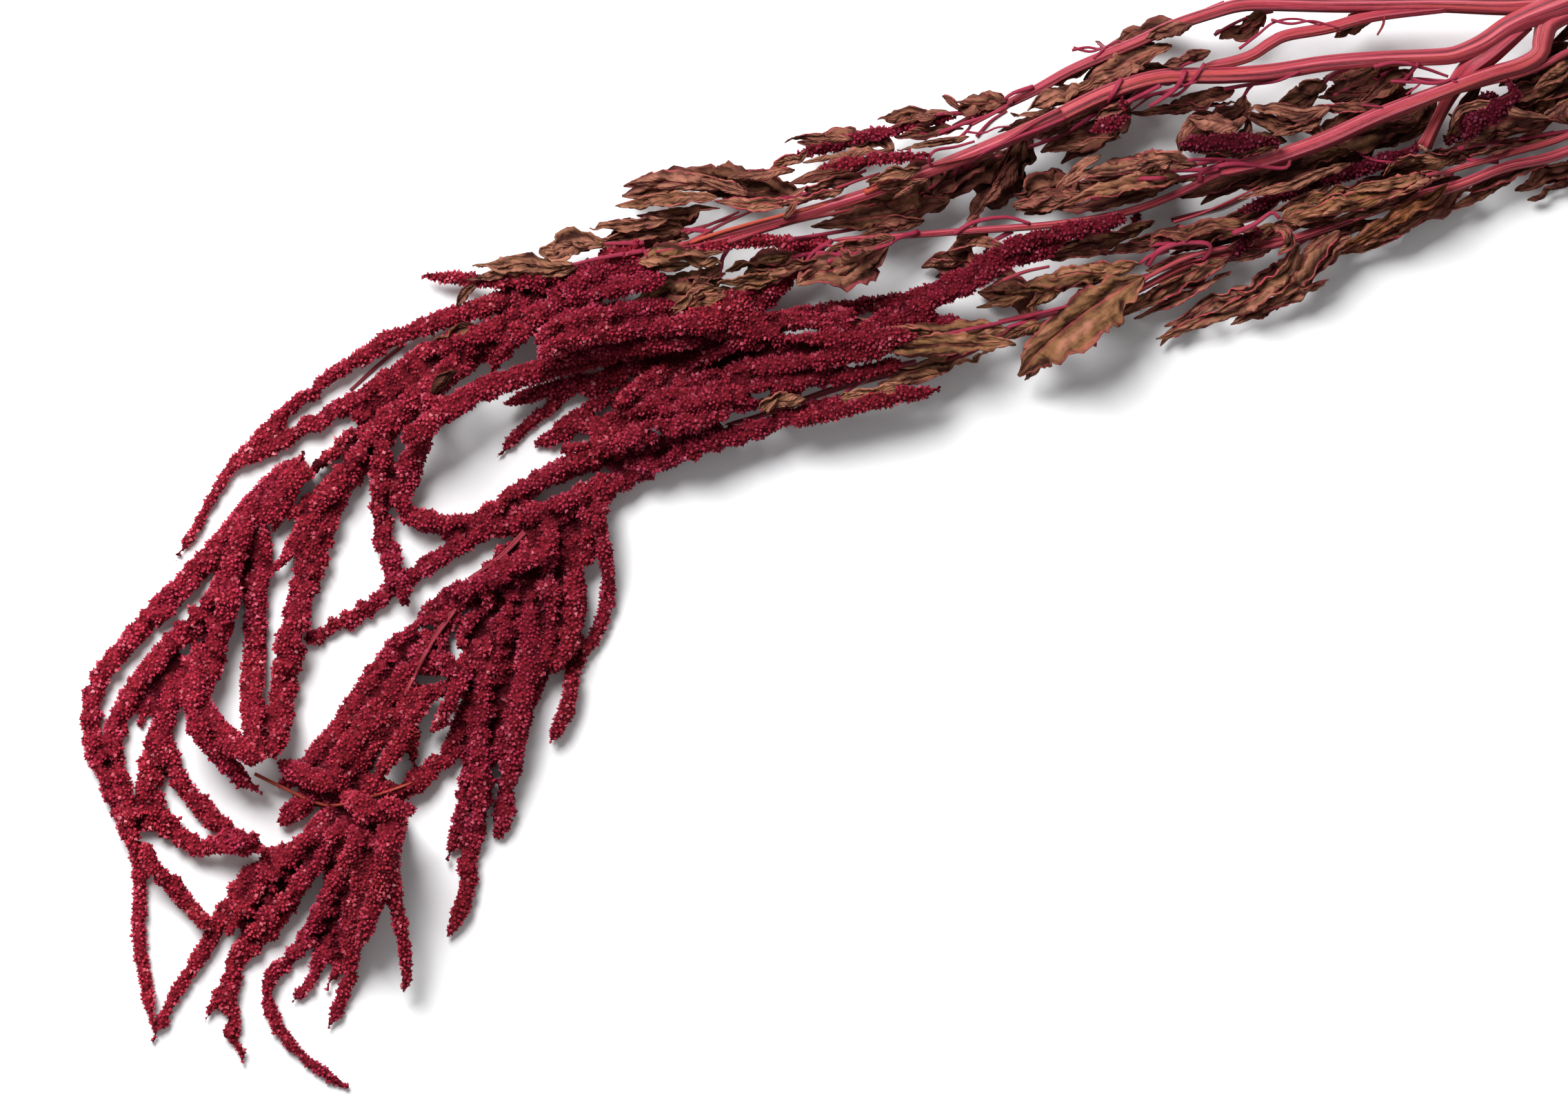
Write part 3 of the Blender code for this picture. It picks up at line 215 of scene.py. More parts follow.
# Strands that lie on a head or beside it: head, first and last radius, share of it that stands out, route
STRANDS = (
    ("tassels_middle", 3.4, 3.0, 0.9, ((324, 279.5), (306, 277), (288, 274), (268, 270))),
    ("tassels_middle", 3.4, 3.0, 0.9, ((332, 284), (314, 283), (296, 284), (280, 286))),
    ("tassels_middle", 3.8, 3.0, 0.7, ((272, 299), (258, 296), (245, 294), (232, 293.5), (216, 291),
                                       (200, 287.5))),
    ("tassels_middle", 3.6, 3.2, 0.8, ((262, 287.5), (250, 288), (238, 287.3), (225, 285.7), (212, 284),
                                       (199, 281))),
    ("tassels_middle", 3.4, 3.0, 0.9, ((254, 282.5), (240, 281.5), (224, 279.5), (210, 277), (196, 273))),
    ("tassels_middle", 3.6, 3.0, 0.9, ((268, 283), (254, 280), (241, 276.5), (230, 272.5), (219, 268.3),
                                       (206, 260.5))),
    ("tassels_middle", 3.8, 3.0, 0.9, ((290, 287), (275, 285), (262, 280), (249, 274.5), (238, 269.5),
                                       (229, 263.5), (221, 256.5))),
    ("tassels_middle", 3.4, 3.0, 0.8, ((284, 275.5), (268, 271), (254, 267), (242, 262), (230, 256.5))),
    ("tassels_middle", 3.4, 3.0, 0.5, ((300, 268), (284, 266.5), (266, 262), (250, 258.5), (236, 255))),
    ("tassels_lower", 3.0, 2.6, 0.9, ((340, 265), (322, 261.5), (304, 257), (286, 252))),
    ("tassels_lower", 3.6, 3.0, 0.7, ((265, 256), (248, 252), (232, 248.5), (216, 242), (200, 234),
                                      (186, 226))),
    ("tassels_lower", 4.0, 3.6, 0.9, ((178, 179), (175.5, 165), (174, 150), (173.5, 135), (174.5, 121),
                                      (174, 108))),
    ("tassels_lower", 4.2, 3.4, 0.9, ((192, 189), (192, 175), (190.5, 160), (188, 145), (186, 130),
                                      (184, 117))),
    ("tassels_lower", 3.8, 3.0, 0.9, ((199, 197), (199.5, 183), (198, 170), (195, 160))),
    ("tassels_lower", 3.6, 3.0, 0.9, ((208, 199), (208, 186), (206, 173), (202, 163))),
    ("tassels_lower", 3.6, 3.4, 0.8, ((202, 206), (190, 202.5), (179, 196.5), (170, 192), (161, 192))),
    ("tassels_lower", 3.0, 2.4, 0.7, ((173, 172), (169, 165), (166, 158), (163, 150), (158.5, 144),
                                      (155, 139.5))),
    ("tassels_lower", 3.6, 3.0, 0.7, ((143, 113), (141, 98), (138, 84), (134, 72), (130, 62))),
    ("tassels_lower", 3.4, 2.8, 0.8, ((134, 111), (129, 98), (123, 88), (118, 78), (112, 67))),
    ("tassels_lower", 3.4, 2.8, 0.8, ((126, 108), (117, 96), (108, 85), (100, 76), (92, 66))),
    ("tassels_lower", 3.2, 2.8, 0.8, ((119, 107), (109, 99), (98, 89), (89, 78), (83, 66))),
    ("tassels_outer", 3.6, 3.4, 0.5, ((152, 246), (147.5, 236), (145, 226), (149, 219.5), (158, 216.8),
                                      (168, 217))),
    ("tassels_outer", 2.6, 2.2, 0.6, ((67, 169), (60, 160.5), (54, 151), (50, 142))),
    ("tassels_outer", 2.2, 2.0, 0.6, ((119, 229.5), (111, 223.5), (104, 216.5))),
    ("tassels_middle", 3.0, 2.4, 0.5, ((237, 271.5), (225, 265), (215, 258.5), (205, 252.5), (198, 248.5))),
    ("tassels_middle", 3.0, 2.8, 0.3, ((222, 268.5), (208, 266.6), (195, 263.6), (183, 259.2))),
    ("tassels_middle", 3.4, 3.0, 0.5, ((242, 304.5), (229, 302.5), (216, 299.5), (205, 296))),
    ("tassels_middle", 3.2, 3.0, 0.5, ((240, 310), (227, 308), (214, 304.5), (203, 301))),
    ("tassels_middle", 2.8, 2.4, 0.6, ((328, 274.5), (313, 271), (298, 267))),
    ("tassels_lower", 3.6, 3.0, 0.5, ((148, 142), (143, 133), (137, 125))),
    ("tassels_lower", 2.3, 2.0, 0.6, ((169, 195.5), (160, 189), (151, 182.5))),
    ("tassels_lower", 2.3, 2.0, 0.6, ((173, 185), (168.5, 177.5), (166, 169.5))),
    ("tassels_lower", 3.0, 2.2, 0.9, ((207.5, 163.5), (206.5, 153), (203, 144), (199.5, 136.5))),
    ("tassels_outer", 1.8, 1.5, 0.6, ((121.5, 241.5), (115.5, 238.5), (110.5, 236.3))),
    ("side_tassel_drop", 1.7, 1.5, 0.8, ((398, 290.5), (396.8, 285), (395, 279.5))),
    ("side_tassel_dark", 3.0, 2.4, 0.4, ((543.5, 371.5), (537, 368.5), (531, 366))),
    ("side_tassel_dark", 3.0, 2.4, 0.4, ((534, 363), (528, 357.5), (523, 353))),
    ("side_tassel_mid", 2.0, 1.8, 0.4, ((462, 355.5), (450, 352), (440, 352.8), (428, 351.6))),
    ("side_tassel_right", 2.6, 2.2, 0.4, ((457, 322.5), (451, 318), (446, 312.5))),
    ("side_tassel_right", 1.6, 1.4, 0.7, ((413, 331), (412, 327), (410, 323))),
    ("side_tassel_upright", 2.4, 2.0, 0.4, ((406, 362), (401, 359.5), (396, 358))),
)

# Gaps through the heads, where the floor shows: half width, and the two ends
GAPS = (
    (2.3, (168, 200.5), (172, 203)), (2.2, (173.5, 204.5), (178.5, 205)), (1.2, (181, 208.8), (188, 212.5)),
    (1.2, (170.5, 196), (175, 199)), (1.8, (153.3, 178), (156, 178.7)), (1.3, (148, 176.5), (150, 175.3)),
    (1.6, (154.8, 166), (157.5, 172)), (1.5, (162.6, 173), (163.8, 176)), (1.0, (169, 174), (170, 176)),
    (2.0, (151.5, 159), (161, 160)), (1.2, (143, 150), (145, 151.5)), (1.2, (187.3, 183), (187.6, 187)),
    (1.2, (202, 169), (203.5, 176)), (1.2, (172.6, 163), (173.2, 166.5)),
    (1.6, (205, 259.5), (210, 263)), (1.8, (209, 247), (213.5, 247.4)),
    (1.2, (220.5, 263.3), (225.5, 266)), (1.5, (227.3, 268), (229.5, 269)),
    (1.7, (235.8, 249.5), (239.5, 250)),
    (2.0, (273, 262.3), (278, 263.3)), (1.8, (291.5, 264), (296, 265.5)), (1.4, (284, 285.3), (299, 286)),
    (1.8, (310.5, 290), (316, 291.8)),
    (1.4, (204, 299.5), (205, 297)), (1.3, (211.3, 296.3), (212, 296.5)),
    (1.8, (97.5, 216), (101.5, 205)), (2.4, (86, 179), (82.5, 160)), (1.5, (143, 243), (146, 250)),
    (2.2, (112, 238), (127, 251.5)), (1.6, (49, 128), (51, 141)), (2.0, (153.5, 144), (153, 132)),
    (1.6, (212.8, 188), (213, 200)), (1.6, (163, 143), (159, 133)),
    (0.9, (104, 238), (106, 239.5)), (0.9, (96.5, 231), (98, 233)), (0.9, (88, 221), (89.5, 223.5)),
)

# Blades that belong to no leaf of the frame: colour, pinkness, half width, route. Those with no heights lie
# on what is below them. Most of the darkest, of colour up to 0.4, are near-black filler laid low in the leaf
# mass as painted shade in its gaps.
LOOSE_BLADES = (
    (1.3, 0.2, 3.2, ((432, 397, 30), (424, 394.5, 31), (415, 391, 29))),
    (1.4, 0.3, 5.0, ((424, 389, 27), (410, 383, 26), (394, 377, 25))),
    (1.8, 0.2, 4.4, ((414, 382, 28), (402, 377, 28), (389, 371, 26))),
    (2.0, 0.1, 4.4, ((392, 374, 25), (383, 370, 24), (372, 366, 23))),
    (1.0, 0.3, 3.0, ((438, 386.5, 33), (430, 384, 34), (421, 381, 33))),
    (0.7, 0.3, 3.5, ((446, 372, 24), (436, 369, 23), (426, 365, 22))),
    (0.3, 0.3, 3.6, ((414, 373.5, 20), (398, 367.5, 20), (386, 361, 19), (376, 355.5, 18))),
    (0.2, 0.2, 3.6, ((418, 390, 21), (404, 385, 20), (392, 377, 19))),
    (1.6, 0.5, 2.8, ((410, 368, 27), (402, 366, 28), (396, 362, 27))),
    (1.5, 0.3, 2.4, ((406, 355.5, 18), (396, 354, 19), (387, 352.4, 18), (379, 351, 17))),
    (1.6, 0.2, 4.6, ((449, 359, 26), (440, 361.5, 27), (430, 363, 26))),
    (1.2, 0.3, 3.0, ((433, 364, 22), (429.5, 357, 22), (427.5, 350.5, 21))),
    (0.1, 0.8, 4.0, ((463, 353, 16), (447, 352.5, 16), (430, 353, 15))),
    (1.7, 0.3, 3.8, ((482, 366, 23), (471, 364.5, 24), (460, 366.5, 24), (452, 365.5, 23))),
    (1.9, 0.2, 2.4, ((479, 361.5, 23), (470, 358.5, 24), (461, 356.5, 22))),
    (1.0, 0.7, 2.6, ((499, 367, 22), (488, 366.3, 23), (476, 366.5, 22))),
    (0.9, 0.3, 4.6, ((512, 380, 22), (503, 375, 22), (492, 368, 21))),
    (0.05, 0.2, 6.0, ((513, 361.5, 20), (498, 358, 19), (484, 353.5, 18), (470, 347.5, 17), (457, 342, 16))),
    (0.1, 0.3, 3.4, ((516, 366, 17), (503, 361, 17), (488, 356.5, 17))),
    (0.15, 0.3, 4.6, ((488, 351.5, 20), (475, 346.5, 20), (463, 341.5, 20), (449, 337, 19))),
    (0.3, 0.3, 3.4, ((452, 342.5, 18), (438, 338.3, 17), (424, 334.5, 16))),
    (2.3, 0.3, 2.5, ((489, 346.5, 25), (478, 343, 26), (467, 338.5, 26), (457, 336, 25), (448, 333, 24))),
    (2.5, 0.3, 2.7, ((522, 347, 26), (512, 348, 27), (504.5, 345.3, 27), (501, 341, 26))),
    (2.8, 0.4, 2.5, ((517, 342.5, 29), (506, 339.7, 30), (496, 338, 30), (487, 335.5, 29))),
    (3.3, 0.6, 3.9, ((515, 338, 27), (502, 335, 28), (489, 331.6, 28), (478, 328.6, 28), (467, 326.6, 27))),
    (0.3, 1.0, 2.3, ((515, 337, 24), (503, 331.5, 24), (491, 328, 23), (481, 325, 22), (471, 323, 21))),
    (0.1, 0.3, 3.4, ((510, 343, 17), (495, 338, 17), (480, 333, 17))),
    (4.0, 0.3, 3.5, ((524, 339, 22), (518, 333, 23), (510, 329.8, 22), (502, 325, 20), (494, 320, 17),
                     (485.5, 315, 12))),
    (2.4, 1.0, 2.3, ((517, 328.5, 17), (508, 323.7, 16), (498, 319.3, 14), (488, 315.3, 10))),
    (2.7, 1.0, 3.4, ((470, 317, 24), (466, 309.5, 20), (458, 303.5, 16), (448, 299, 12))),
    (2.4, 1.0, 4.6, ((485, 322, 22), (477, 317, 21), (471.5, 309, 19), (467, 302.5, 15), (461, 297, 11))),
    (2.2, 1.0, 3.2, ((489.5, 320, 20), (482.5, 315.5, 19), (477.5, 309, 17), (472, 303, 12))),
    (2.5, 0.8, 3.8, ((471, 306, 15), (460, 300.5, 14), (447, 294.5, 11), (434, 289.3, 9), (419, 283, 7))),
    (2.5, 0.9, 3.0, ((460, 324.5, 27), (465.5, 321, 29), (467, 316.5, 28), (462.5, 313, 26))),
    (0.1, 0.5, 3.3, ((500, 326.5, 14), (488, 323.5, 14), (475, 321, 14))),
    (0.1, 0.4, 3.8, ((466, 322, 13), (456, 317.5, 13), (446, 311.5, 12))),
    (0.4, 0.4, 4.0, ((449, 323.5, 14), (430, 320, 14), (409, 318, 13))),
    (0.2, 0.4, 3.4, ((464, 334, 18), (452, 328, 17), (438, 323, 15))),
    (0.2, 0.4, 3.0, ((418, 326, 16), (409, 321.5, 16), (398, 317.5, 15))),
    (0.3, 0.3, 3.2, ((447, 372.5, 21), (434, 370.5, 21), (420, 366.5, 20))),
    (1.2, 0.3, 2.8, ((482, 353.5, 19), (473, 361, 19), (466, 363.5, 19))),
    (0.6, 0.5, 3.2, ((500, 369, 19), (486, 362, 19), (474, 357, 18))),
    (0.2, 0.8, 2.6, ((500, 372.5, 18), (488, 371, 18), (477, 370, 17))),
    (0.3, 0.4, 3.0, ((377, 366, 18), (390, 372, 19), (402, 377, 19))),
    (0.8, 0.6, 2.6, ((548, 340.5, 13), (536, 334.5, 13), (524, 329.5, 12))),
    (0.3, 0.5, 3.0, ((529, 342, 17), (517, 337, 17), (505, 333, 16))),
    (1.8, 1.0, 3.2, ((481, 305, 13), (470, 299, 12), (458, 293.5, 9))),
    (0.9, 0.6, 3.0, ((447, 321.5, 20), (432, 319, 20), (418, 315.5, 18))),
    (0.2, 0.9, 3.0, ((462, 324.5, 22), (453, 320, 22), (444, 315, 20))),
    (0.1, 0.6, 2.6, ((460, 316, 20), (451, 313, 20), (443, 310.5, 18))),
    (3.0, 0.2, 2.0, ((446, 324, 23), (439, 323, 24), (432, 322, 23))),
    (1.0, 0.8, 2.2, ((434, 314, 18), (425, 311, 18), (415, 307.5, 17))),
    (2.5, 0.8, 3.9, ((447, 313.5, 16), (437, 309, 16), (426, 303.5, 14), (416, 297, 11), (406, 291.5, 8))),
    (2.0, 0.9, 2.4, ((446, 307.5, 12), (434, 301, 11), (422, 295.5, 9), (411, 290.5, 7))),
    (2.6, 0.5, 4.4, ((427, 341.5, 30), (411, 338.7, 31), (397, 335.3, 30), (385, 331, 28))),
    (2.0, 0.4, 3.0, ((421, 347, 31), (407, 344.3, 32), (395, 342.5, 31), (385, 338, 29))),
    (2.2, 0.3, 2.0, ((398.5, 349, 29), (393, 346, 30), (388, 342, 29), (382.5, 337, 27))),
    (1.7, 0.3, 3.2, ((388, 333.8, 25), (379, 331, 24), (368, 328.6, 22))),
    (1.7, 0.3, 1.9, ((427, 349, 28), (418, 348.8, 29), (408.5, 348.2, 27))),
    (0.4, 0.5, 4.4, ((409, 321, 16), (393, 317, 15), (376, 312, 14))),
    (0.7, 0.6, 2.6, ((402, 314.5, 19), (390, 313.2, 19), (377, 311.5, 18))),
    (0.8, 0.2, 4.6, ((369, 352.5, 17), (355, 343.5, 16), (341, 333, 15))),
    (1.2, 0.5, 3.0, ((358, 320.5, 18), (350, 317.5, 17), (343, 314.5, 16))),
    (2.9, 0.3, 4.6, ((410, 308.5, 22), (395, 306.5, 23), (379, 303.5, 21), (364, 299.5, 18))),
    (2.95, 0.4, 10.8, ((414, 305.5, 24), (400, 297, 25), (388, 288.5, 24), (377, 279, 20), (369, 269.5, 15))),
    (1.6, 0.2, 3.4, ((395, 336, 17), (384, 331.8, 17), (371, 328.3, 16))),
    (1.0, 0.2, 4.2, ((566, 375, 22), (552, 372, 21), (538, 368, 20))),
    (0.5, 0.4, 4.0, ((562, 361, 20), (545, 358, 19), (530, 352, 18))),
    (0.1, 0.2, 4.6, ((568, 390, 18), (556, 384, 17), (543, 374, 16))),
    (0.1, 0.2, 4.2, ((556, 366, 15), (542, 362, 14), (527, 357, 14))),
    (0.1, 0.3, 4.4, ((572, 376, 17), (557, 371, 17), (541, 366, 16))),
    (1.6, 0.3, 3.3, ((571, 383, 25), (563, 378, 25), (555, 373, 24))),
    (1.7, 0.3, 3.0, ((569, 370, 24), (562, 366, 25), (555, 361, 23))),
    (2.1, 0.2, 2.1, ((525, 359, 24), (528.5, 365, 26), (537, 367.3, 26), (549, 364.3, 26), (562, 362.5, 24))),
    (0.2, 0.3, 4.0, ((530, 350, 16), (515, 346, 16), (500, 342.5, 16))),
    (1.9, 0.7, 1.8, ((548, 353, 23), (539, 350.6, 24), (532, 349.4, 23))),
    (0.6, 1.0, 2.8, ((568, 357, 15), (552, 354.5, 15), (536, 350.5, 15))),
    (0.8, 1.0, 2.8, ((561, 348, 14), (545, 342.5, 14), (530, 336, 13))),
    (0.1, 0.2, 4.0, ((466, 355, 14), (452, 353, 14), (434, 350, 13))),
    (0.6, 0.3, 5.2, ((344, 333, 17), (326, 328, 17), (309, 325.5, 16), (294, 323.5, 15))),
    (0.9, 0.3, 3.2, ((335, 325.5, 19), (324, 323.5, 19), (311, 320, 17))),
    (0.6, 0.3, 5.0, ((360, 350, 20), (349, 343.5, 20), (338, 335, 18))),
    (0.8, 0.2, 3.6, ((369, 350, 20), (363, 340, 19), (356, 331, 17))),
    (1.5, 0.4, 2.4, ((355, 327.5, 16), (349.5, 321.5, 16), (347, 315.5, 14))),
    (1.5, 0.4, 2.2, ((364, 316.5, 17), (354, 317.3, 17), (345.5, 316, 15))),
    (1.7, 0.4, 2.2, ((347, 311, 11), (340.5, 311.3, 11), (334, 309.3, 9))),
    (1.6, 0.3, 2.8, ((381, 334, 22), (373, 332, 22), (366, 331, 20))),
    (1.5, 0.5, 2.0, ((309, 355, 27), (296, 355.7, 27), (284.5, 354, 25))),
    (2.2, 0.9, 2.6, ((293, 350.5, 24), (285.5, 347.3, 23), (279.5, 343, 20))),
    (2.2, 0.4, 1.9, ((324, 351, 30), (308, 349.5, 31), (291, 346.3, 29))),
    (1.0, 0.4, 3.4, ((318, 346, 22), (302, 343, 21), (286, 338.5, 19))),
    (2.5, 0.3, 2.7, ((334, 343.5, 34), (324, 342, 35), (314, 339.3, 33))),
    (2.3, 0.4, 1.8, ((351, 355.3, 29), (338, 353.5, 29), (325, 351.2, 28))),
    (1.0, 0.5, 2.5, ((349, 359.3, 25), (336, 357.5, 25), (324, 356, 24))),
    (2.0, 0.6, 2.3, ((347, 363.8, 27), (338.5, 363.6, 27), (330.5, 361.3, 25))),
    (2.0, 0.9, 1.5, ((348, 365.5, 27), (344.5, 368.3, 27), (341, 371, 25))),
    (1.0, 0.4, 2.6, ((365, 369, 26), (356, 368, 26), (347, 368.2, 24))),
    (1.9, 0.2, 1.3, ((379, 364.3, 27), (372, 363.5, 27), (366, 364.2, 25))),
    (1.4, 0.4, 3.0, ((313, 341.5, 25), (300, 338.3, 26), (286, 335, 24))),
    (2.2, 0.9, 2.6, ((306, 336.3, 31), (293, 333.5, 31), (280, 331.2, 28))),
    (2.1, 0.6, 1.7, ((289, 333, 31), (286.5, 329.5, 31), (284, 326, 28))),
    (2.3, 0.6, 1.5, ((332, 338.5, 33), (328.5, 335.8, 34), (323.5, 333, 32))),
    (1.6, 0.6, 2.4, ((336, 340.5, 31), (325, 337.5, 32), (314, 336.5, 31))),
    (1.9, 0.4, 4.2, ((264, 338.3, 21), (249, 339, 22), (237, 339.5, 21), (226, 338, 18))),
    (2.6, 0.3, 3.2, ((260, 333.6, 23), (246, 333.8, 24), (234, 332.3, 23), (223.5, 331, 20))),
    (1.1, 0.3, 2.8, ((261, 330.3, 19), (246, 328.5, 19), (231, 327.6, 17))),
    (2.0, 0.5, 2.6, ((272, 335, 24), (264, 337.3, 25), (254, 340.5, 23))),
    (0.05, 0.2, 3.4, ((280, 337.5, 17), (268, 337.3, 17), (256, 334.5, 16))),
    (1.8, 0.7, 2.3, ((288, 344.5, 23), (277, 342, 23), (264, 341, 21))),
    (2.3, 0.8, 2.6, ((286, 332.3, 27), (273, 331.3, 27), (259, 332.6, 25))),
    (1.7, 0.2, 2.6, ((242, 325.6, 20), (229, 324.3, 20), (214, 323, 17))),
    (1.3, 0.2, 2.9, ((244, 321.7, 17), (231, 320.6, 17), (216, 318.3, 15))),
    (0.1, 0.7, 3.2, ((254, 327.5, 13), (244, 323.7, 13), (233, 321, 12))),
    (2.8, 0.2, 2.6, ((218, 318, 18), (207, 316.4, 17), (196, 315.6, 14))),
    (2.6, 0.2, 2.2, ((246, 318, 23), (240, 315, 24), (235, 311.5, 23))),
    (2.7, 0.3, 2.0, ((251, 309.5, 27), (243, 309, 28), (235, 309, 26))),
    (2.9, 0.3, 2.9, ((285, 312.5), (274, 310.7), (263, 307.3))),
    (2.7, 0.3, 2.6, ((285, 307), (274, 304.7), (260, 303))),
    (2.8, 0.2, 2.4, ((278, 302), (266, 300.5), (255, 299.3))),
    (2.8, 0.3, 2.5, ((263, 306.3), (251, 304.7), (239, 303.3))),
    (2.9, 0.2, 2.9, ((247, 303.5), (239, 300.3), (230, 296))),
    (2.7, 0.2, 2.4, ((251, 301), (247.5, 296.5), (244.5, 291.5))),
    (1.2, 0.4, 2.7, ((263, 310), (256, 305), (249.5, 298))),
    (1.0, 0.4, 2.8, ((296, 311), (284, 307.5), (272, 306))),
    (1.0, 0.1, 2.6, ((173, 287.5), (165, 285.5), (157, 282))),
    (0.2, 0.1, 3.0, ((166, 271.5), (161, 267.5), (157, 262.5))),
    (2.0, 0.1, 2.2, ((173, 302.5), (169, 298.5), (166, 294.5))),
    (1.8, 0.6, 2.6, ((329, 264), (325, 261.5), (322, 259))),
    (3.0, 0.3, 4.6, ((368, 281, 27), (349, 281, 28), (329, 280.5, 28), (311, 282, 27), (296, 280.5, 25))),
    (2.6, 0.3, 2.8, ((341, 271, 20), (330, 268, 20), (318, 267, 19))),
    (1.2, 0.3, 3.2, ((436, 342.5, 22), (421, 337.3, 23), (405, 333, 23), (390, 330.6, 22), (375, 330.4, 20))),
    (0.2, 0.3, 3.2, ((463, 344, 16), (452, 340, 16), (442, 336, 15), (435, 331.5, 15))),
    (0.7, 0.2, 3.6, ((470, 359.5, 20), (460, 361.6, 20), (450, 364.5, 19))),
    (0.3, 0.3, 2.4, ((447, 369, 21), (432, 367, 21), (419, 365, 20), (408, 364, 19))),
    (0.05, 0.2, 3.2, ((537, 375, 14), (530, 365, 14), (524, 355, 14))),
    (0.05, 0.2, 3.0, ((518, 361.5, 14), (507, 356.5, 14), (496, 351.5, 14))),
    (1.8, 0.3, 2.4, ((482, 338.5, 19), (472, 333.5, 19), (461, 329, 18))),
    (0.5, 0.6, 2.6, ((421, 318.5, 16), (411, 316, 16), (401, 313, 15))),
    (0.3, 0.8, 2.0, ((452, 320.5, 16), (438, 316.5, 16), (424, 313, 15))),
    (2.0, 1.0, 2.0, ((481, 322, 17), (475.5, 317, 16), (471, 311.5, 14))),
    (3.5, 0.5, 2.2, ((511, 322.5, 12), (499, 318, 11), (485, 313, 8))),
    (2.2, 0.8, 3.2, ((464, 298, 9), (455, 293, 8), (446, 288.5, 6))),
    (2.4, 0.6, 1.8, ((433, 289.5, 6), (425, 285.5, 5), (420.5, 280.8, 4))),
    (2.6, 0.8, 2.8, ((417, 299.5, 12), (408, 294.5, 9), (399, 290, 6))),
    (3.1, 0.4, 3.0, ((387, 303, 20), (379, 298.5, 20), (372, 294.5, 19))),
    (3.0, 0.4, 2.6, ((373, 299, 18), (363, 295.6, 18), (354, 294, 16))),
    (2.9, 0.4, 3.0, ((380, 290, 17), (371, 286.3, 17), (363, 282.8, 14))),
    (2.9, 0.4, 2.2, ((380, 278, 13), (375.5, 273, 11), (371.3, 268, 8))),
    (1.6, 0.3, 2.3, ((395, 381, 21), (385, 376.3, 21), (375, 372.8, 20))),
    (0.4, 0.6, 2.4, ((393, 363, 17), (383, 359, 17), (373, 355, 16))),
    (0.3, 0.4, 3.0, ((574, 399, 18), (568, 394.5, 18), (562, 390, 17))),
    (0.1, 0.3, 4.0, ((498, 352, 13), (484, 346, 13), (470, 341, 13))),
    (0.1, 0.5, 3.6, ((540, 354, 12), (524, 349, 12), (508, 344, 12))),
    (0.2, 0.6, 3.4, ((486, 330, 12), (472, 326.5, 12), (458, 322, 12))),
)

# Leaves: colour (0 dark brown, 1 brown, 2 tan, 3 olive, 4 orange brown), pinkness and size
LEAVES = {
    "leaf_top_a": (1.2, 0.2, 0.8), "leaf_top_b": (1.2, 0.2, 0.8), "leaf_top_c": (1.4, 0.2, 0.7),
    "leaf_top_d": (0.8, 0.2, 0.9), "leaf_big_left": (1.5, 0.2, 0.6), "leaf_left_b": (1.3, 0.1, 0.8),
    "leaf_left_tan": (2.3, 0.0, 1.0), "leaf_left_strip": (2.3, 0.0, 1.0), "leaf_olive_a": (2.9, 0.2, 1.0),
    "leaf_olive_b": (2.7, 0.2, 1.0), "leaf_olive_c": (2.5, 0.3, 1.0), "leaf_olive_right": (2.7, 0.3, 1.0),
    "leaf_centre": (1.6, 0.5, 1.0), "leaf_dark_large": (0.8, 0.2, 0.8), "leaf_dark_long": (0.4, 0.2, 1.0),
    "leaf_gap_a": (1.0, 0.6, 0.8), "leaf_gap_b": (0.9, 0.6, 0.8), "leaf_big_olive": (3.0, 0.4, 0.6),
    "leaf_olive_lobe": (2.9, 0.4, 0.6), "leaf_long_tan": (2.8, 0.3, 1.0), "leaf_low_tan": (2.5, 0.3, 0.6),
    "leaf_low_end": (2.6, 0.1, 1.0), "leaf_low_mid": (2.8, 0.1, 1.0), "leaf_tan_pink": (1.6, 1.0, 0.6),
    "leaf_long_tip": (1.9, 0.9, 0.6), "leaf_second_tip": (1.5, 1.0, 0.5), "leaf_right_olive": (2.9, 0.4, 0.7),
    "leaf_right_wavy": (2.4, 0.6, 0.7), "leaf_orange": (2.0, 0.7, 0.5), "leaf_right_b": (1.2, 0.6, 0.8),
    "leaf_folded": (1.3, 0.1, 0.7), "leaf_round": (1.3, 0.1, 0.5), "leaf_under_b": (0.6, 0.2, 0.8),
    "leaf_hang_a": (0.5, 0.4, 0.8), "leaf_hang_b": (0.5, 0.4, 0.8), "leaf_mass_high": (1.1, 0.2, 0.45),
    "leaf_mass_low": (1.3, 0.2, 0.8), "leaf_mid_a": (0.9, 0.1, 0.7), "leaf_row_a": (1.7, 0.3, 0.8),
    "leaf_row_b": (1.3, 0.3, 0.8), "leaf_row_c": (1.1, 0.3, 0.8), "leaf_edge_a": (0.6, 0.3, 0.9),
    "leaf_edge_b": (0.5, 0.2, 0.9), "leaf_edge_c": (1.0, 0.5, 0.7), "leaf_dark_low": (0.6, 0.5, 0.8),
    "leaf_dark_under": (0.2, 0.1, 1.0),
}

BLUNT_STEMS = ("cut_branch",)                 # these end at their full radius
HEADS = {"tassels_outer": 1.0, "tassels_lower": 0.85, "tassels_middle": 0.55}   # share of the clumps' height
SIDE_TASSELS = ("side_tassel_top", "side_tassel_second", "side_tassel_right", "side_tassel_mid",
                "side_tassel_upright", "side_tassel_dark", "side_tassel_drop")


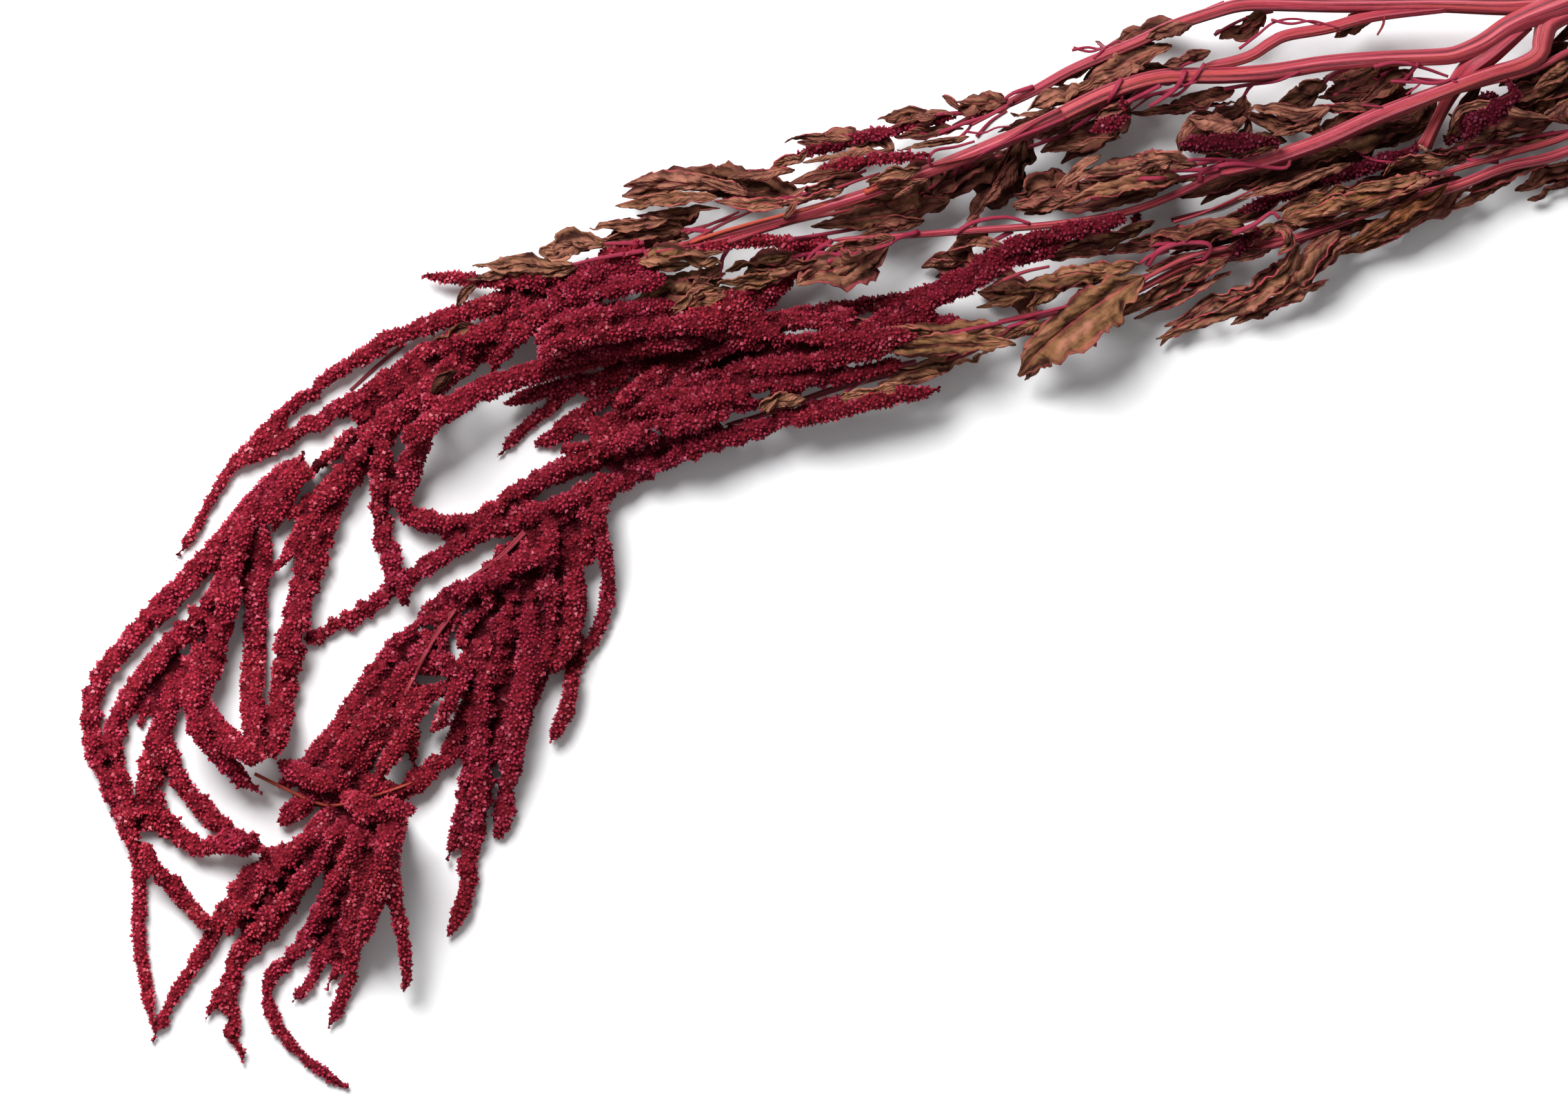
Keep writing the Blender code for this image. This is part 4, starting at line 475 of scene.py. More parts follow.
class FloretSettings(bpy.types.PropertyGroup):
    """Sizes and colours of the tassels."""

    spacing: FloatProperty(name="Spacing", description="Least distance between two florets", default=0.00118,
                           unit="LENGTH", precision=5)
    size: FloatProperty(name="Size", description="Length of a floret's bracts", default=0.0014, unit="LENGTH",
                        precision=5)
    clump_size: FloatProperty(name="Clump Size", description="Width of a clump of florets", default=0.0046,
                              unit="LENGTH", precision=4)
    clump_height: FloatProperty(name="Clump Height", description="How far clumps stand out", default=0.0015,
                                unit="LENGTH", precision=4)
    deepen: FloatProperty(name="Deepen", description="How much the valleys between strands are deepened",
                          default=1.5)
    dark: FloatVectorProperty(name="Dark", description="Florets in shade", subtype="COLOR",
                              default=(0.045, 0.002, 0.005))
    middle: FloatVectorProperty(name="Middle", description="Most florets", subtype="COLOR",
                                default=(0.44, 0.026, 0.048))
    bright: FloatVectorProperty(name="Bright", description="Papery bract tips", subtype="COLOR",
                                default=(0.62, 0.125, 0.160))


class StemSettings(bpy.types.PropertyGroup):
    """Relief and colours of the stems."""

    ridge: FloatProperty(name="Ridge Depth", description="Depth of the ridges, as a share of the radius",
                         default=0.12, subtype="FACTOR")
    skin: FloatVectorProperty(name="Skin", description="Most of the stem", subtype="COLOR",
                              default=(0.34, 0.020, 0.043))
    # Pale ridge tops and pale fibres: partly the stem's own colour, partly painted highlight on the ridge
    # tops.
    crest: FloatVectorProperty(name="Crest", description="Tops of the ridges", subtype="COLOR",
                               default=(0.53, 0.112, 0.148))
    # Dark grooves and dark fibres: partly the stem's own colour, partly painted shade in the grooves and on
    # one flank.
    groove_and_shade: FloatVectorProperty(name="Groove", description="Between the ridges", subtype="COLOR",
                                default=(0.095, 0.004, 0.010))
    patch: FloatVectorProperty(name="Patch", description="Where the skin has faded", subtype="COLOR",
                               default=(0.50, 0.075, 0.045))
    petiole: FloatVectorProperty(name="Petiole", description="Leaf stalks and twigs", subtype="COLOR",
                                 default=(0.33, 0.019, 0.058))
    pith: FloatVectorProperty(name="Pith", description="Cut ends", subtype="COLOR",
                              default=(0.70, 0.50, 0.36))


class LeafSettings(bpy.types.PropertyGroup):
    """Shape and colours of the leaves."""

    thickness: FloatProperty(name="Thickness", description="Thickness of a dry blade", default=0.0005,
                             unit="LENGTH", precision=5)
    crumple: FloatProperty(name="Crumple", description="Height of the creases", default=0.0013,
                           unit="LENGTH", precision=4)
    pleat: FloatProperty(name="Pleat", description="Height of the long folds, as a share of the width",
                         default=0.09, subtype="FACTOR")
    curl: FloatProperty(name="Curl", default=0.20, subtype="FACTOR",
                        description="Height of the waves along the edge, as a share of the width")
    # Also the painted shade in the folds of the leaves.
    dark: FloatVectorProperty(name="Dark Brown", description="Darkest leaves", subtype="COLOR",
                              default=(0.026, 0.007, 0.006))
    brown: FloatVectorProperty(name="Brown", description="Most leaves", subtype="COLOR",
                               default=(0.130, 0.040, 0.028))
    # Also, lightened, the painted highlight on the crests of the leaves.
    tan: FloatVectorProperty(name="Tan", description="Pale leaves", subtype="COLOR",
                             default=(0.262, 0.104, 0.071))
    olive: FloatVectorProperty(name="Olive", description="Greenest leaves", subtype="COLOR",
                               default=(0.190, 0.090, 0.037))
    orange: FloatVectorProperty(name="Orange Brown", description="A few bright leaves", subtype="COLOR",
                                default=(0.250, 0.082, 0.024))
    vein: FloatVectorProperty(name="Vein", description="Veins and edges", subtype="COLOR",
                              default=(0.36, 0.050, 0.065))


class StageSettings(bpy.types.PropertyGroup):
    """Camera, light and floor."""

    height: FloatProperty(name="Camera Height", description="Height of the camera over the floor",
                          default=6.0, unit="LENGTH")
    key: FloatProperty(name="Key Light", description="Strength of the soft light", default=89.0, unit="POWER")
    sky: FloatProperty(name="Sky", description="Strength of the light from all around", default=0.32)
    floor: FloatVectorProperty(name="Floor", description="Floor colour", subtype="COLOR",
                               default=(0.86, 0.86, 0.87))


def plan(points):
    """Plan points in millimetres as metres in the frame."""
    return (np.array(points, dtype=float) - PLAN_ORIGIN) * MM


def smooth_route(points, step):
    """Evenly spaced points on a Catmull-Rom curve through the given ones."""
    knots = np.array(points, dtype=float)
    padded = np.vstack((2 * knots[0] - knots[1], knots, 2 * knots[-1] - knots[-2]))
    dense = []
    for index in range(1, len(padded) - 2):
        a, b, c, d = padded[index - 1:index + 3]
        for share in np.linspace(0.0, 1.0, 16, endpoint=False):
            dense.append(0.5 * (2 * b + (c - a) * share + (2 * a - 5 * b + 4 * c - d) * share ** 2
                                + (3 * b - a - 3 * c + d) * share ** 3))
    dense.append(padded[-2])
    dense = np.array(dense)
    lengths = np.concatenate(([0.0], np.cumsum(np.linalg.norm(np.diff(dense, axis=0), axis=1))))
    count = max(4, int(round(lengths[-1] / step)) + 1)
    places = np.linspace(0.0, lengths[-1], count)
    return np.column_stack([np.interp(places, lengths, column) for column in dense.T])


def new_object(name, data):
    """An object with its data, placed in the scene."""
    made = bpy.data.objects.new(name, data)
    bpy.context.scene.collection.objects.link(made)
    return made


class Shape:
    """Points, faces and marks of several forms, gathered before they become one piece."""

    def __init__(self):
        self.points = []
        self.faces = []
        self.marks = {}
        self.count = 0

    def add(self, points, faces, **marks):
        """Add one form; each mark has a number or a triple for every point."""
        self.points.append(np.asarray(points, dtype=float))
        self.faces += [tuple(corner + self.count for corner in face) for face in faces]
        for name, values in marks.items():
            self.marks.setdefault(name, []).append(np.asarray(values, dtype=float))
        self.count += len(points)

    def mesh(self, name):
        """The gathered forms as one mesh with its marks as attributes."""
        mesh = bpy.data.meshes.new(name)
        mesh.from_pydata(np.vstack(self.points).tolist(), [], self.faces)
        for mark, parts in self.marks.items():
            values = np.concatenate(parts)
            if values.ndim == 1:
                mesh.attributes.new(mark, "FLOAT", "POINT").data.foreach_set("value", values)
            else:
                mesh.attributes.new(mark, "FLOAT_VECTOR", "POINT").data.foreach_set("vector", values.ravel())
        mesh.polygons.foreach_set("use_smooth", [True] * len(mesh.polygons))
        mesh.update()
        return mesh

    def piece(self, name, finish):
        """The gathered forms as one object."""
        made = new_object(name, self.mesh(name))
        made.data.materials.append(finish)
        return made


def surface_height(tree, point, start=HIGH):
    """Height of the surface over or under a point that is met first from a start height, if there is one."""
    way = Vector((0.0, 0.0, -math.copysign(1.0, start)))
    hit = tree.ray_cast(Vector((point[0], point[1], start)), way)[0]
    return None if hit is None else hit.z


def laid(route, step, tree, rise):
    """Centre line of a plan route that lies on what is below it and spans the gaps between."""
    line = plan(smooth_route([(x, y, 0.0) for x, y in route], step))
    tops = [surface_height(tree, point) for point in line]
    held = [index for index, top in enumerate(tops) if top is not None]
    if held:
        line[:, 2] = np.interp(np.arange(len(line)), held, [tops[index] for index in held])
    for _ in range(3):
        line[1:-1, 2] = 0.25 * line[:-2, 2] + 0.5 * line[1:-1, 2] + 0.25 * line[2:, 2]
    line[:, 2] += rise
    return line


def directions(centres):
    """Heading, side and over directions at each point of a route."""
    heading = np.gradient(centres, axis=0)
    heading /= np.linalg.norm(heading, axis=1)[:, None]
    side = np.cross(heading, UP)
    side /= np.maximum(np.linalg.norm(side, axis=1), 1e-6)[:, None]
    over = np.cross(side, heading)
    return heading, side, over


def add_tube(shape, centres, radii, sides, depth=0.0, turns=(7, 11), phase=0.0, tone=0.0):
    """A closed tube with uneven ridges along it; its marks tell a material where each point lies."""
    side, over = directions(centres)[1:]
    angle = np.arange(sides) * 2.0 * math.pi / sides
    along = np.concatenate(([0.0], np.cumsum(np.linalg.norm(np.diff(centres, axis=0), axis=1))))[:, None]
    drift = 0.9 * np.sin(along / DRIFT + phase)
    ridge = (0.6 * np.cos(turns[0] * angle + phase + drift)
             + 0.4 * np.cos(turns[1] * angle - 1.7 * phase - 0.7 * drift))
    reach = np.asarray(radii)[:, None] * (1.0 + depth * ridge)
    rings = (centres[:, None, :] + (reach * np.cos(angle))[..., None] * side[:, None, :]
             + (reach * np.sin(angle))[..., None] * over[:, None, :])
    count = len(centres)
    points = np.vstack((rings.reshape(-1, 3), centres[:1], centres[-1:]))
    pairs = [(corner, (corner + 1) % sides) for corner in range(sides)]
    faces = [(ring + corner, ring + other, ring + sides + other, ring + sides + corner)
             for ring in range(0, (count - 1) * sides, sides) for corner, other in pairs]
    first = count * sides
    for corner, other in pairs:
        faces += [(first, other, corner), (first + 1, first - sides + corner, first - sides + other)]
    around = np.broadcast_to(angle, ridge.shape)
    place = np.stack((np.cos(around), np.sin(around), np.broadcast_to(along, ridge.shape) / GRAIN), axis=-1)
    ends = np.array(((0.0, 0.0, 0.0), (0.0, 0.0, along[-1, 0] / GRAIN)))
    shape.add(points, faces, ridge=np.concatenate((ridge.ravel(), (0.0, 0.0))),
              grain=np.vstack((place.reshape(-1, 3), ends)), tone=np.full(len(points), tone))


def merged_copy(node):
    """A closed copy of a node's loose triangles."""
    copy = bpy.data.meshes.new(node + "_copy")
    body = bmesh.new()
    body.from_mesh(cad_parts[node].data)
    bmesh.ops.remove_doubles(body, verts=body.verts, dist=1e-6)
    body.to_mesh(copy)
    body.free()
    return copy


def surface_of(*nodes):
    """The surface of some nodes, for finding places on it."""
    body = bmesh.new()
    for node in nodes:
        body.from_mesh(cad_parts[node].data)
    tree = BVHTree.FromBMesh(body)
    body.free()
    return tree


def plain_mesh(thing):
    """Turn an object's modifiers into its plain mesh."""
    bpy.context.view_layer.update()
    graph = bpy.context.evaluated_depsgraph_get()
    made = bpy.data.meshes.new_from_object(thing.evaluated_get(graph))
    thing.modifiers.clear()
    thing.data = made
    return thing


def settle(piece, slot, *nodes):
    """Make a finished piece ride with the part and stand for its nodes."""
    piece.data.name = piece.name
    if nodes:
        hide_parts(*nodes)
    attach(piece, "root")


def add_node(tree, kind, inputs=None, **settings):
    """A node with its settings, and its inputs as values or as sockets to link from."""
    node = tree.nodes.new(kind)
    for name, value in settings.items():
        setattr(node, name, value)
    for name, value in (inputs or {}).items():
        if isinstance(value, bpy.types.NodeSocket):
            tree.links.new(value, node.inputs[name])
        else:
            node.inputs[name].default_value = value
    return node


def colour_of(value):
    """A socket as it is, or a colour with full alpha."""
    return value if isinstance(value, bpy.types.NodeSocket) else (*value, 1.0)


def times(factor, colour):
    """A colour made brighter or darker."""
    return [factor * part for part in colour]


def blend(tree, share, first, second):
    """The colour between two colours, as a socket."""
    return add_node(tree, "ShaderNodeMix", {0: share, 6: colour_of(first), 7: colour_of(second)},
                    data_type="RGBA").outputs[2]


def remap(tree, value, low, high, to_low=0.0, to_high=1.0):
    """A value carried from one span to another, as a socket."""
    return add_node(tree, "ShaderNodeMapRange", {
        "Value": value, "From Min": low, "From Max": high, "To Min": to_low,
        "To Max": to_high}).outputs["Result"]


def compute(tree, operation, *values):
    """The result of a math operation, as a socket."""
    return add_node(tree, "ShaderNodeMath", dict(enumerate(values)), operation=operation).outputs[0]


def compute_vector(tree, operation, *values):
    """The result of a vector operation, as a socket."""
    return add_node(tree, "ShaderNodeVectorMath", dict(enumerate(values)),
                    operation=operation).outputs["Vector"]


def scaled(tree, vector, factor):
    """A vector times a number, as a socket."""
    return add_node(tree, "ShaderNodeVectorMath", {0: vector, "Scale": factor},
                    operation="SCALE").outputs["Vector"]


def cloud(tree, vector, scale, detail=2.0, roughness=0.5):
    """Soft noise, as a socket."""
    return add_node(tree, "ShaderNodeTexNoise", {
        "Vector": vector, "Scale": scale, "Detail": detail, "Roughness": roughness}).outputs["Fac"]


def mark(tree, name, output="Fac"):
    """One of a piece's marks, as a socket."""
    return add_node(tree, "ShaderNodeAttribute", attribute_name=name).outputs[output]


def object_place(tree):
    """Where a point lies on its piece, as a socket."""
    return add_node(tree, "ShaderNodeTexCoord").outputs["Object"]


def ramp(tree, value, stops):
    """A colour ramp through the given (position, colour) stops, as a socket."""
    node = add_node(tree, "ShaderNodeValToRGB", {"Fac": value})
    elements = node.color_ramp.elements
    while len(elements) < len(stops):
        elements.new(0.5)
    for element, (position, colour) in zip(elements, stops):
        element.position = position
        element.color = colour_of(colour)
    return node.outputs["Color"]


def new_group(name, kind, inputs, outputs):
    """A node group with named sockets, given as (name, socket type, default)."""
    tree = bpy.data.node_groups.new(name, kind)
    for label, socket, default in inputs:
        made = tree.interface.new_socket(name=label, in_out="INPUT", socket_type=socket)
        if default is not None:
            made.default_value = default
    for label, socket in outputs:
        tree.interface.new_socket(name=label, in_out="OUTPUT", socket_type=socket)
    return tree, tree.nodes.new("NodeGroupInput").outputs, tree.nodes.new("NodeGroupOutput").inputs


def mottle_group():
    """Blotches that blend two colours, with a height for a bump."""
    found = bpy.data.node_groups.get("DryMottle")
    if found:
        return found
    tree, given, result = new_group(
        "DryMottle", "ShaderNodeTree",
        (("Vector", "NodeSocketVector", None), ("Scale", "NodeSocketFloat", 100.0),
         ("First", "NodeSocketColor", None), ("Second", "NodeSocketColor", None),
         ("Share", "NodeSocketFloat", 0.5)),
        (("Color", "NodeSocketColor"), ("Height", "NodeSocketFloat")))
    height = cloud(tree, given["Vector"], given["Scale"], 5.0, 0.6)
    mask = remap(tree, compute(tree, "SUBTRACT", height, given["Share"]), -0.12, 0.12)
    tree.links.new(blend(tree, mask, given["First"], given["Second"]), result["Color"])
    tree.links.new(height, result["Height"])
    return tree


def mottle(tree, vector, scale, first, second, share=0.5):
    """Blotches of two colours: sockets of their colour and of their height."""
    node = add_node(tree, "ShaderNodeGroup", {
        "Vector": vector, "Scale": scale, "First": colour_of(first), "Second": colour_of(second),
        "Share": share}, node_tree=mottle_group())
    return node.outputs["Color"], node.outputs["Height"]


def new_finish(name, roughness, specular=0.5):
    """A material with its Principled shader, whose constants stay on the shader's own sockets."""
    made = bpy.data.materials.new(name)
    made.use_nodes = True
    shader = made.node_tree.nodes["Principled BSDF"].inputs
    shader["Roughness"].default_value = roughness
    shader["Specular IOR Level"].default_value = specular
    return made, made.node_tree, shader


def add_bump(tree, shader, height, distance, strength=1.0):
    """Bump a shader's surface by a height."""
    bump = add_node(tree, "ShaderNodeBump", {"Height": height, "Distance": distance, "Strength": strength})
    tree.links.new(bump.outputs["Normal"], shader["Normal"])


def hollow_shade(tree, settings, colour):
    """A colour darkened with painted shade in the hollows between strands and between clumps."""
    return blend(tree, remap(tree, mark(tree, "crest"), -0.9, 0.3), settings.dark, colour)


def darker_toward_root(tree, place, colour):
    """A colour that goes darker from the tassels' tips toward the root of the stem."""
    split = add_node(tree, "ShaderNodeSeparateXYZ", {"Vector": place})
    darkening = ramp(tree, remap(tree, split.outputs["X"], -0.31, 0.075), (
        (0.0, (1.0, 1.0, 1.0)), (0.208, (0.79, 0.80, 0.80)), (0.8, (0.49, 0.49, 0.50)),
        (0.92, (0.38, 0.35, 0.42)), (1.0, (0.22, 0.17, 0.26))))
    return compute_vector(tree, "MULTIPLY", colour, darkening)


def floret_finish(settings):
    """Papery bracts, each with a tint of its own, in beads and patches of redder and bluer crimson, with
    painted shade in the hollows.
    """
    made, tree, shader = new_finish("crimson_florets", 0.75, 0.12)
    tinted = ramp(tree, mark(tree, "tint"), (
        (0.0, times(0.45, settings.middle)), (0.3, settings.middle), (0.9, settings.middle),
        (1.0, settings.bright)))
    place = object_place(tree)
    patches = mottle(tree, place, 22.0, tinted, blend(tree, 0.4, tinted, (0.31, 0.012, 0.070)))[0]
    beads = add_node(tree, "ShaderNodeTexVoronoi", {"Vector": place, "Scale": 1.0 / settings.clump_size})
    bead = add_node(tree, "ShaderNodeSeparateColor", {"Color": beads.outputs["Color"]}).outputs[0]
    bead_tint = ramp(tree, bead, (
        (0.0, (0.72, 0.65, 0.66)), (0.55, (1.0, 1.0, 1.0)), (0.8, (1.12, 1.35, 1.3)),
        (1.0, (1.28, 2.4, 2.0))))
    beaded = compute_vector(tree, "MULTIPLY", patches, bead_tint)
    tree.links.new(hollow_shade(tree, settings, darker_toward_root(tree, place, beaded)), shader["Base Color"])
    return made


def core_finish(settings):
    """The inside of a tassel between its florets, painted dark in the shade colour as the shade between them.
    """
    made, tree, shader = new_finish("tassel_core", 0.9, 0.05)
    place = object_place(tree)
    colour, height = mottle(tree, place, 600.0, settings.dark, times(0.6, settings.middle))
    tree.links.new(hollow_shade(tree, settings, darker_toward_root(tree, place, colour)), shader["Base Color"])
    add_bump(tree, shader, height, 0.001)
    return made


def stem_finish(settings):
    """Pink-red skin: ridge stripes, partly its own, partly painted highlight and shade, a flank in painted
    shade, faded patches, fibres, and magenta stalks.
    """
    made, tree, shader = new_finish("ridged_stem", 0.45, 0.35)
    grain = mark(tree, "grain", "Vector")
    tone = mark(tree, "tone")
    # Pale ridge tops and dark grooves: partly the stem's own stripes, partly painted highlight on the tops
    # and painted shade in the grooves.
    lines = ramp(tree, remap(tree, mark(tree, "ridge"), -1.0, 1.0), (
        (0.0, settings.groove_and_shade), (0.24, settings.groove_and_shade), (0.38, settings.skin), (0.66, settings.skin),
        (0.92, settings.crest)))
    fibres = cloud(tree, compute_vector(tree, "MULTIPLY", grain, (7.0, 7.0, 0.35)), 1.6, 4.0, 0.65)
    paler = blend(tree, remap(tree, fibres, 0.50, 0.70, 0.0, 0.6), lines, settings.crest)
    streaked = blend(tree, remap(tree, fibres, 0.46, 0.32, 0.0, 0.75), paler, settings.groove_and_shade)
    # Painted shade: one flank of each tube goes toward the groove colour; on the stems, which run from their
    # root on the right, that is the flank toward -Y, away from the key light.
    turned = add_node(tree, "ShaderNodeSeparateXYZ", {"Vector": grain}).outputs["X"]
    darker = blend(tree, remap(tree, turned, -0.25, -0.95, 0.0, 0.7), streaked, settings.groove_and_shade)
    faded = blend(tree, 0.7, darker, settings.patch)
    banded = compute_vector(tree, "MULTIPLY", grain, (1.6, 1.6, 0.12))
    patches = mottle(tree, banded, 1.2, darker, faded, 0.60)[0]
    stalks = blend(tree, remap(tree, tone, 0.0, 1.0, 0.0, 0.85), patches, settings.petiole)
    finished = blend(tree, remap(tree, tone, 1.0, 2.0), stalks, settings.patch)
    tree.links.new(finished, shader["Base Color"])
    add_bump(tree, shader, fibres, 0.0006, 0.7)
    return made


def pith_finish(settings):
    """Pale torn pith at the cut ends."""
    made, tree, shader = new_finish("cut_pith", 0.9)
    colour = mottle(tree, object_place(tree), 900.0, settings.pith, times(0.6, settings.patch))[0]
    tree.links.new(colour, shader["Base Color"])
    return made


def leaf_finish(settings):
    """Dry leaf: a tone for each leaf, blotches, painted highlight on the raised creases, painted shade in the
    folds, faint side veins, pink midrib and edges.
    """
    made, tree, shader = new_finish("dry_leaf", 0.8, 0.07)
    tone = mark(tree, "tone")
    relief = mark(tree, "relief")
    spread = mark(tree, "blade", "Vector")
    place = object_place(tree)
    base = ramp(tree, compute(tree, "DIVIDE", tone, 4.0), (
        (0.0, settings.dark), (0.25, settings.brown), (0.5, settings.tan), (0.75, settings.olive),
        (1.0, settings.orange)))
    patches = mottle(tree, place, 55.0, base, blend(tree, 0.6, base, settings.olive), 0.52)[0]
    blotches = mottle(tree, place, 130.0, patches, blend(tree, 0.55, base, settings.dark), 0.54)[0]
    lengthwise = cloud(tree, compute_vector(tree, "MULTIPLY", spread, (3.0, 9.0, 1.0)), 1.3, 5.0, 0.7)
    fair = remap(tree, tone, 0.2, 1.6, 0.04, 0.6)
    paler = blend(tree, remap(tree, lengthwise, 0.48, 0.75, 0.0, fair), blotches, times(1.35, settings.tan))
    # Painted highlight: the high parts of the relief go toward a light tan.
    lit = blend(tree, remap(tree, relief, 0.35, 0.95, 0.0, fair), paler, times(1.5, settings.tan))
    # Painted shade: the low parts of the relief go toward the darkest leaf colour.
    fold_shaded = blend(tree, remap(tree, relief, 0.1, -0.65, 0.0, 0.92), lit, settings.dark)
    split = add_node(tree, "ShaderNodeSeparateXYZ", {"Vector": spread}).outputs
    across = compute(tree, "ABSOLUTE", split["Y"])
    slant = compute(tree, "MULTIPLY_ADD", across, -0.30, split["X"])
    shaken = compute(tree, "MULTIPLY_ADD", cloud(tree, place, 240.0), 0.12, slant)
    side_veins = compute(tree, "PINGPONG", compute(tree, "MULTIPLY", shaken, 9.0), 0.5)
    midrib = remap(tree, across, 0.13, 0.04)
    lines = compute(tree, "MAXIMUM", remap(tree, across, 0.80, 0.95), midrib)
    patchy = remap(tree, lengthwise, 0.40, 0.58, 0.0, 1.6)
    pink = compute(tree, "MULTIPLY", lines, compute(tree, "MULTIPLY", mark(tree, "blush"), patchy))
    tree.links.new(blend(tree, pink, fold_shaded, settings.vein), shader["Base Color"])
    fine = add_node(tree, "ShaderNodeTexNoise", {
        "Vector": place, "Scale": 260.0, "Detail": 4.0, "Roughness": 0.6, "Distortion": 0.4},
        noise_type="RIDGED_MULTIFRACTAL", normalize=True).outputs["Fac"]
    ribbed = compute(tree, "MULTIPLY_ADD", side_veins, 0.45, fine)
    add_bump(tree, shader, compute(tree, "MULTIPLY_ADD", midrib, 0.5, ribbed), 0.0012, 0.9)
    return made


def floor_finish(settings):
    """A plain pale floor."""
    made, tree, shader = new_finish("pale_floor", 0.9, 0.1)
    colour = mottle(tree, object_place(tree), 3.0, settings.floor, times(0.99, settings.floor))[0]
    tree.links.new(colour, shader["Base Color"])
    return made


def floret_mesh():
    """One floret: a small uneven bead drawn out to a point."""
    points = ((0.50, 0.06, 0.10), (-0.05, 0.46, 0.0), (-0.48, -0.04, 0.14), (0.03, -0.50, 0.05),
              (0.14, 0.05, 0.80), (0.0, 0.0, -0.35))
    faces = ((0, 1, 4), (1, 2, 4), (2, 3, 4), (3, 0, 4), (1, 0, 5), (2, 1, 5), (3, 2, 5), (0, 3, 5))
    mesh = bpy.data.meshes.new("floret")
    mesh.from_pydata(points, [], faces)
    return new_object("floret", mesh)


def finish_tree(tree, geometry, lowest, given, result):
    """Raise what lies lower than a height to it, set the material and put the geometry out."""
    place = add_node(tree, "GeometryNodeInputPosition").outputs["Position"]
    split = add_node(tree, "ShaderNodeSeparateXYZ", {"Vector": place}).outputs
    joined = add_node(tree, "ShaderNodeCombineXYZ", {
        "X": split["X"], "Y": split["Y"], "Z": compute(tree, "MAXIMUM", split["Z"], lowest)})
    resting = add_node(tree, "GeometryNodeSetPosition", {
        "Geometry": geometry, "Position": joined.outputs["Vector"]})
    finished = add_node(tree, "GeometryNodeSetMaterial", {
        "Geometry": resting.outputs["Geometry"], "Material": given["Material"]})
    tree.links.new(finished.outputs["Geometry"], result["Geometry"])


def clump_tree():
    """Geometry nodes that push a tassel's surface in and out in rounded clumps."""
    found = bpy.data.node_groups.get("TasselClumps")
    if found:
        return found
    tree, given, result = new_group(
        "TasselClumps", "GeometryNodeTree",
        (("Geometry", "NodeSocketGeometry", None), ("Clump Size", "NodeSocketFloat", 0.005),
         ("Clump Height", "NodeSocketFloat", 0.001), ("Deepen", "NodeSocketFloat", 1.0),
         ("Material", "NodeSocketMaterial", None)),
        (("Geometry", "NodeSocketGeometry"),))
    cells = add_node(tree, "ShaderNodeTexVoronoi", {
        "Scale": compute(tree, "DIVIDE", 1.0, given["Clump Size"]), "Smoothness": 0.35}, feature="SMOOTH_F1")
    dome = remap(tree, cells.outputs["Distance"], 0.05, 0.75, 1.0, -0.6)
    drift = add_node(tree, "ShaderNodeTexNoise", {"Scale": 20.0, "Detail": 1.0})
    loose = remap(tree, drift.outputs["Fac"], 0.38, 0.62, 0.35, 1.6)
    height = compute(tree, "MULTIPLY", compute(tree, "MULTIPLY", dome, loose), given["Clump Height"])
    normal = add_node(tree, "GeometryNodeInputNormal").outputs["Normal"]
    moved = add_node(tree, "GeometryNodeSetPosition", {
        "Geometry": given["Geometry"], "Offset": scaled(tree, normal, height)})
    place = add_node(tree, "GeometryNodeInputPosition").outputs["Position"]
    evened = add_node(tree, "GeometryNodeBlurAttribute", {"Value": place, "Iterations": 14},
                      data_type="FLOAT_VECTOR")
    above = compute_vector(tree, "SUBTRACT", place, evened.outputs["Value"])
    raised = add_node(tree, "ShaderNodeVectorMath", {0: above, 1: normal}, operation="DOT_PRODUCT")
    # The crest mark is the height over the evened surface; the tassel materials paint shade where it is low.
    marked = add_node(tree, "GeometryNodeStoreNamedAttribute", {
        "Geometry": moved.outputs["Geometry"], "Name": "crest",
        "Value": compute(tree, "MULTIPLY", raised.outputs["Value"], 1.0 / MM)},
        data_type="FLOAT", domain="POINT")
    kept = add_node(tree, "GeometryNodeInputNamedAttribute", {"Name": "crest"}, data_type="FLOAT")
    sunk = compute(tree, "MINIMUM", kept.outputs[0], 0.0)
    depth = compute(tree, "MULTIPLY", compute(tree, "MULTIPLY", sunk, given["Deepen"]), MM)
    deepened = add_node(tree, "GeometryNodeSetPosition", {
        "Geometry": marked.outputs["Geometry"], "Offset": scaled(tree, normal, depth)})
    finish_tree(tree, deepened.outputs["Geometry"], 0.0006, given, result)
    return tree


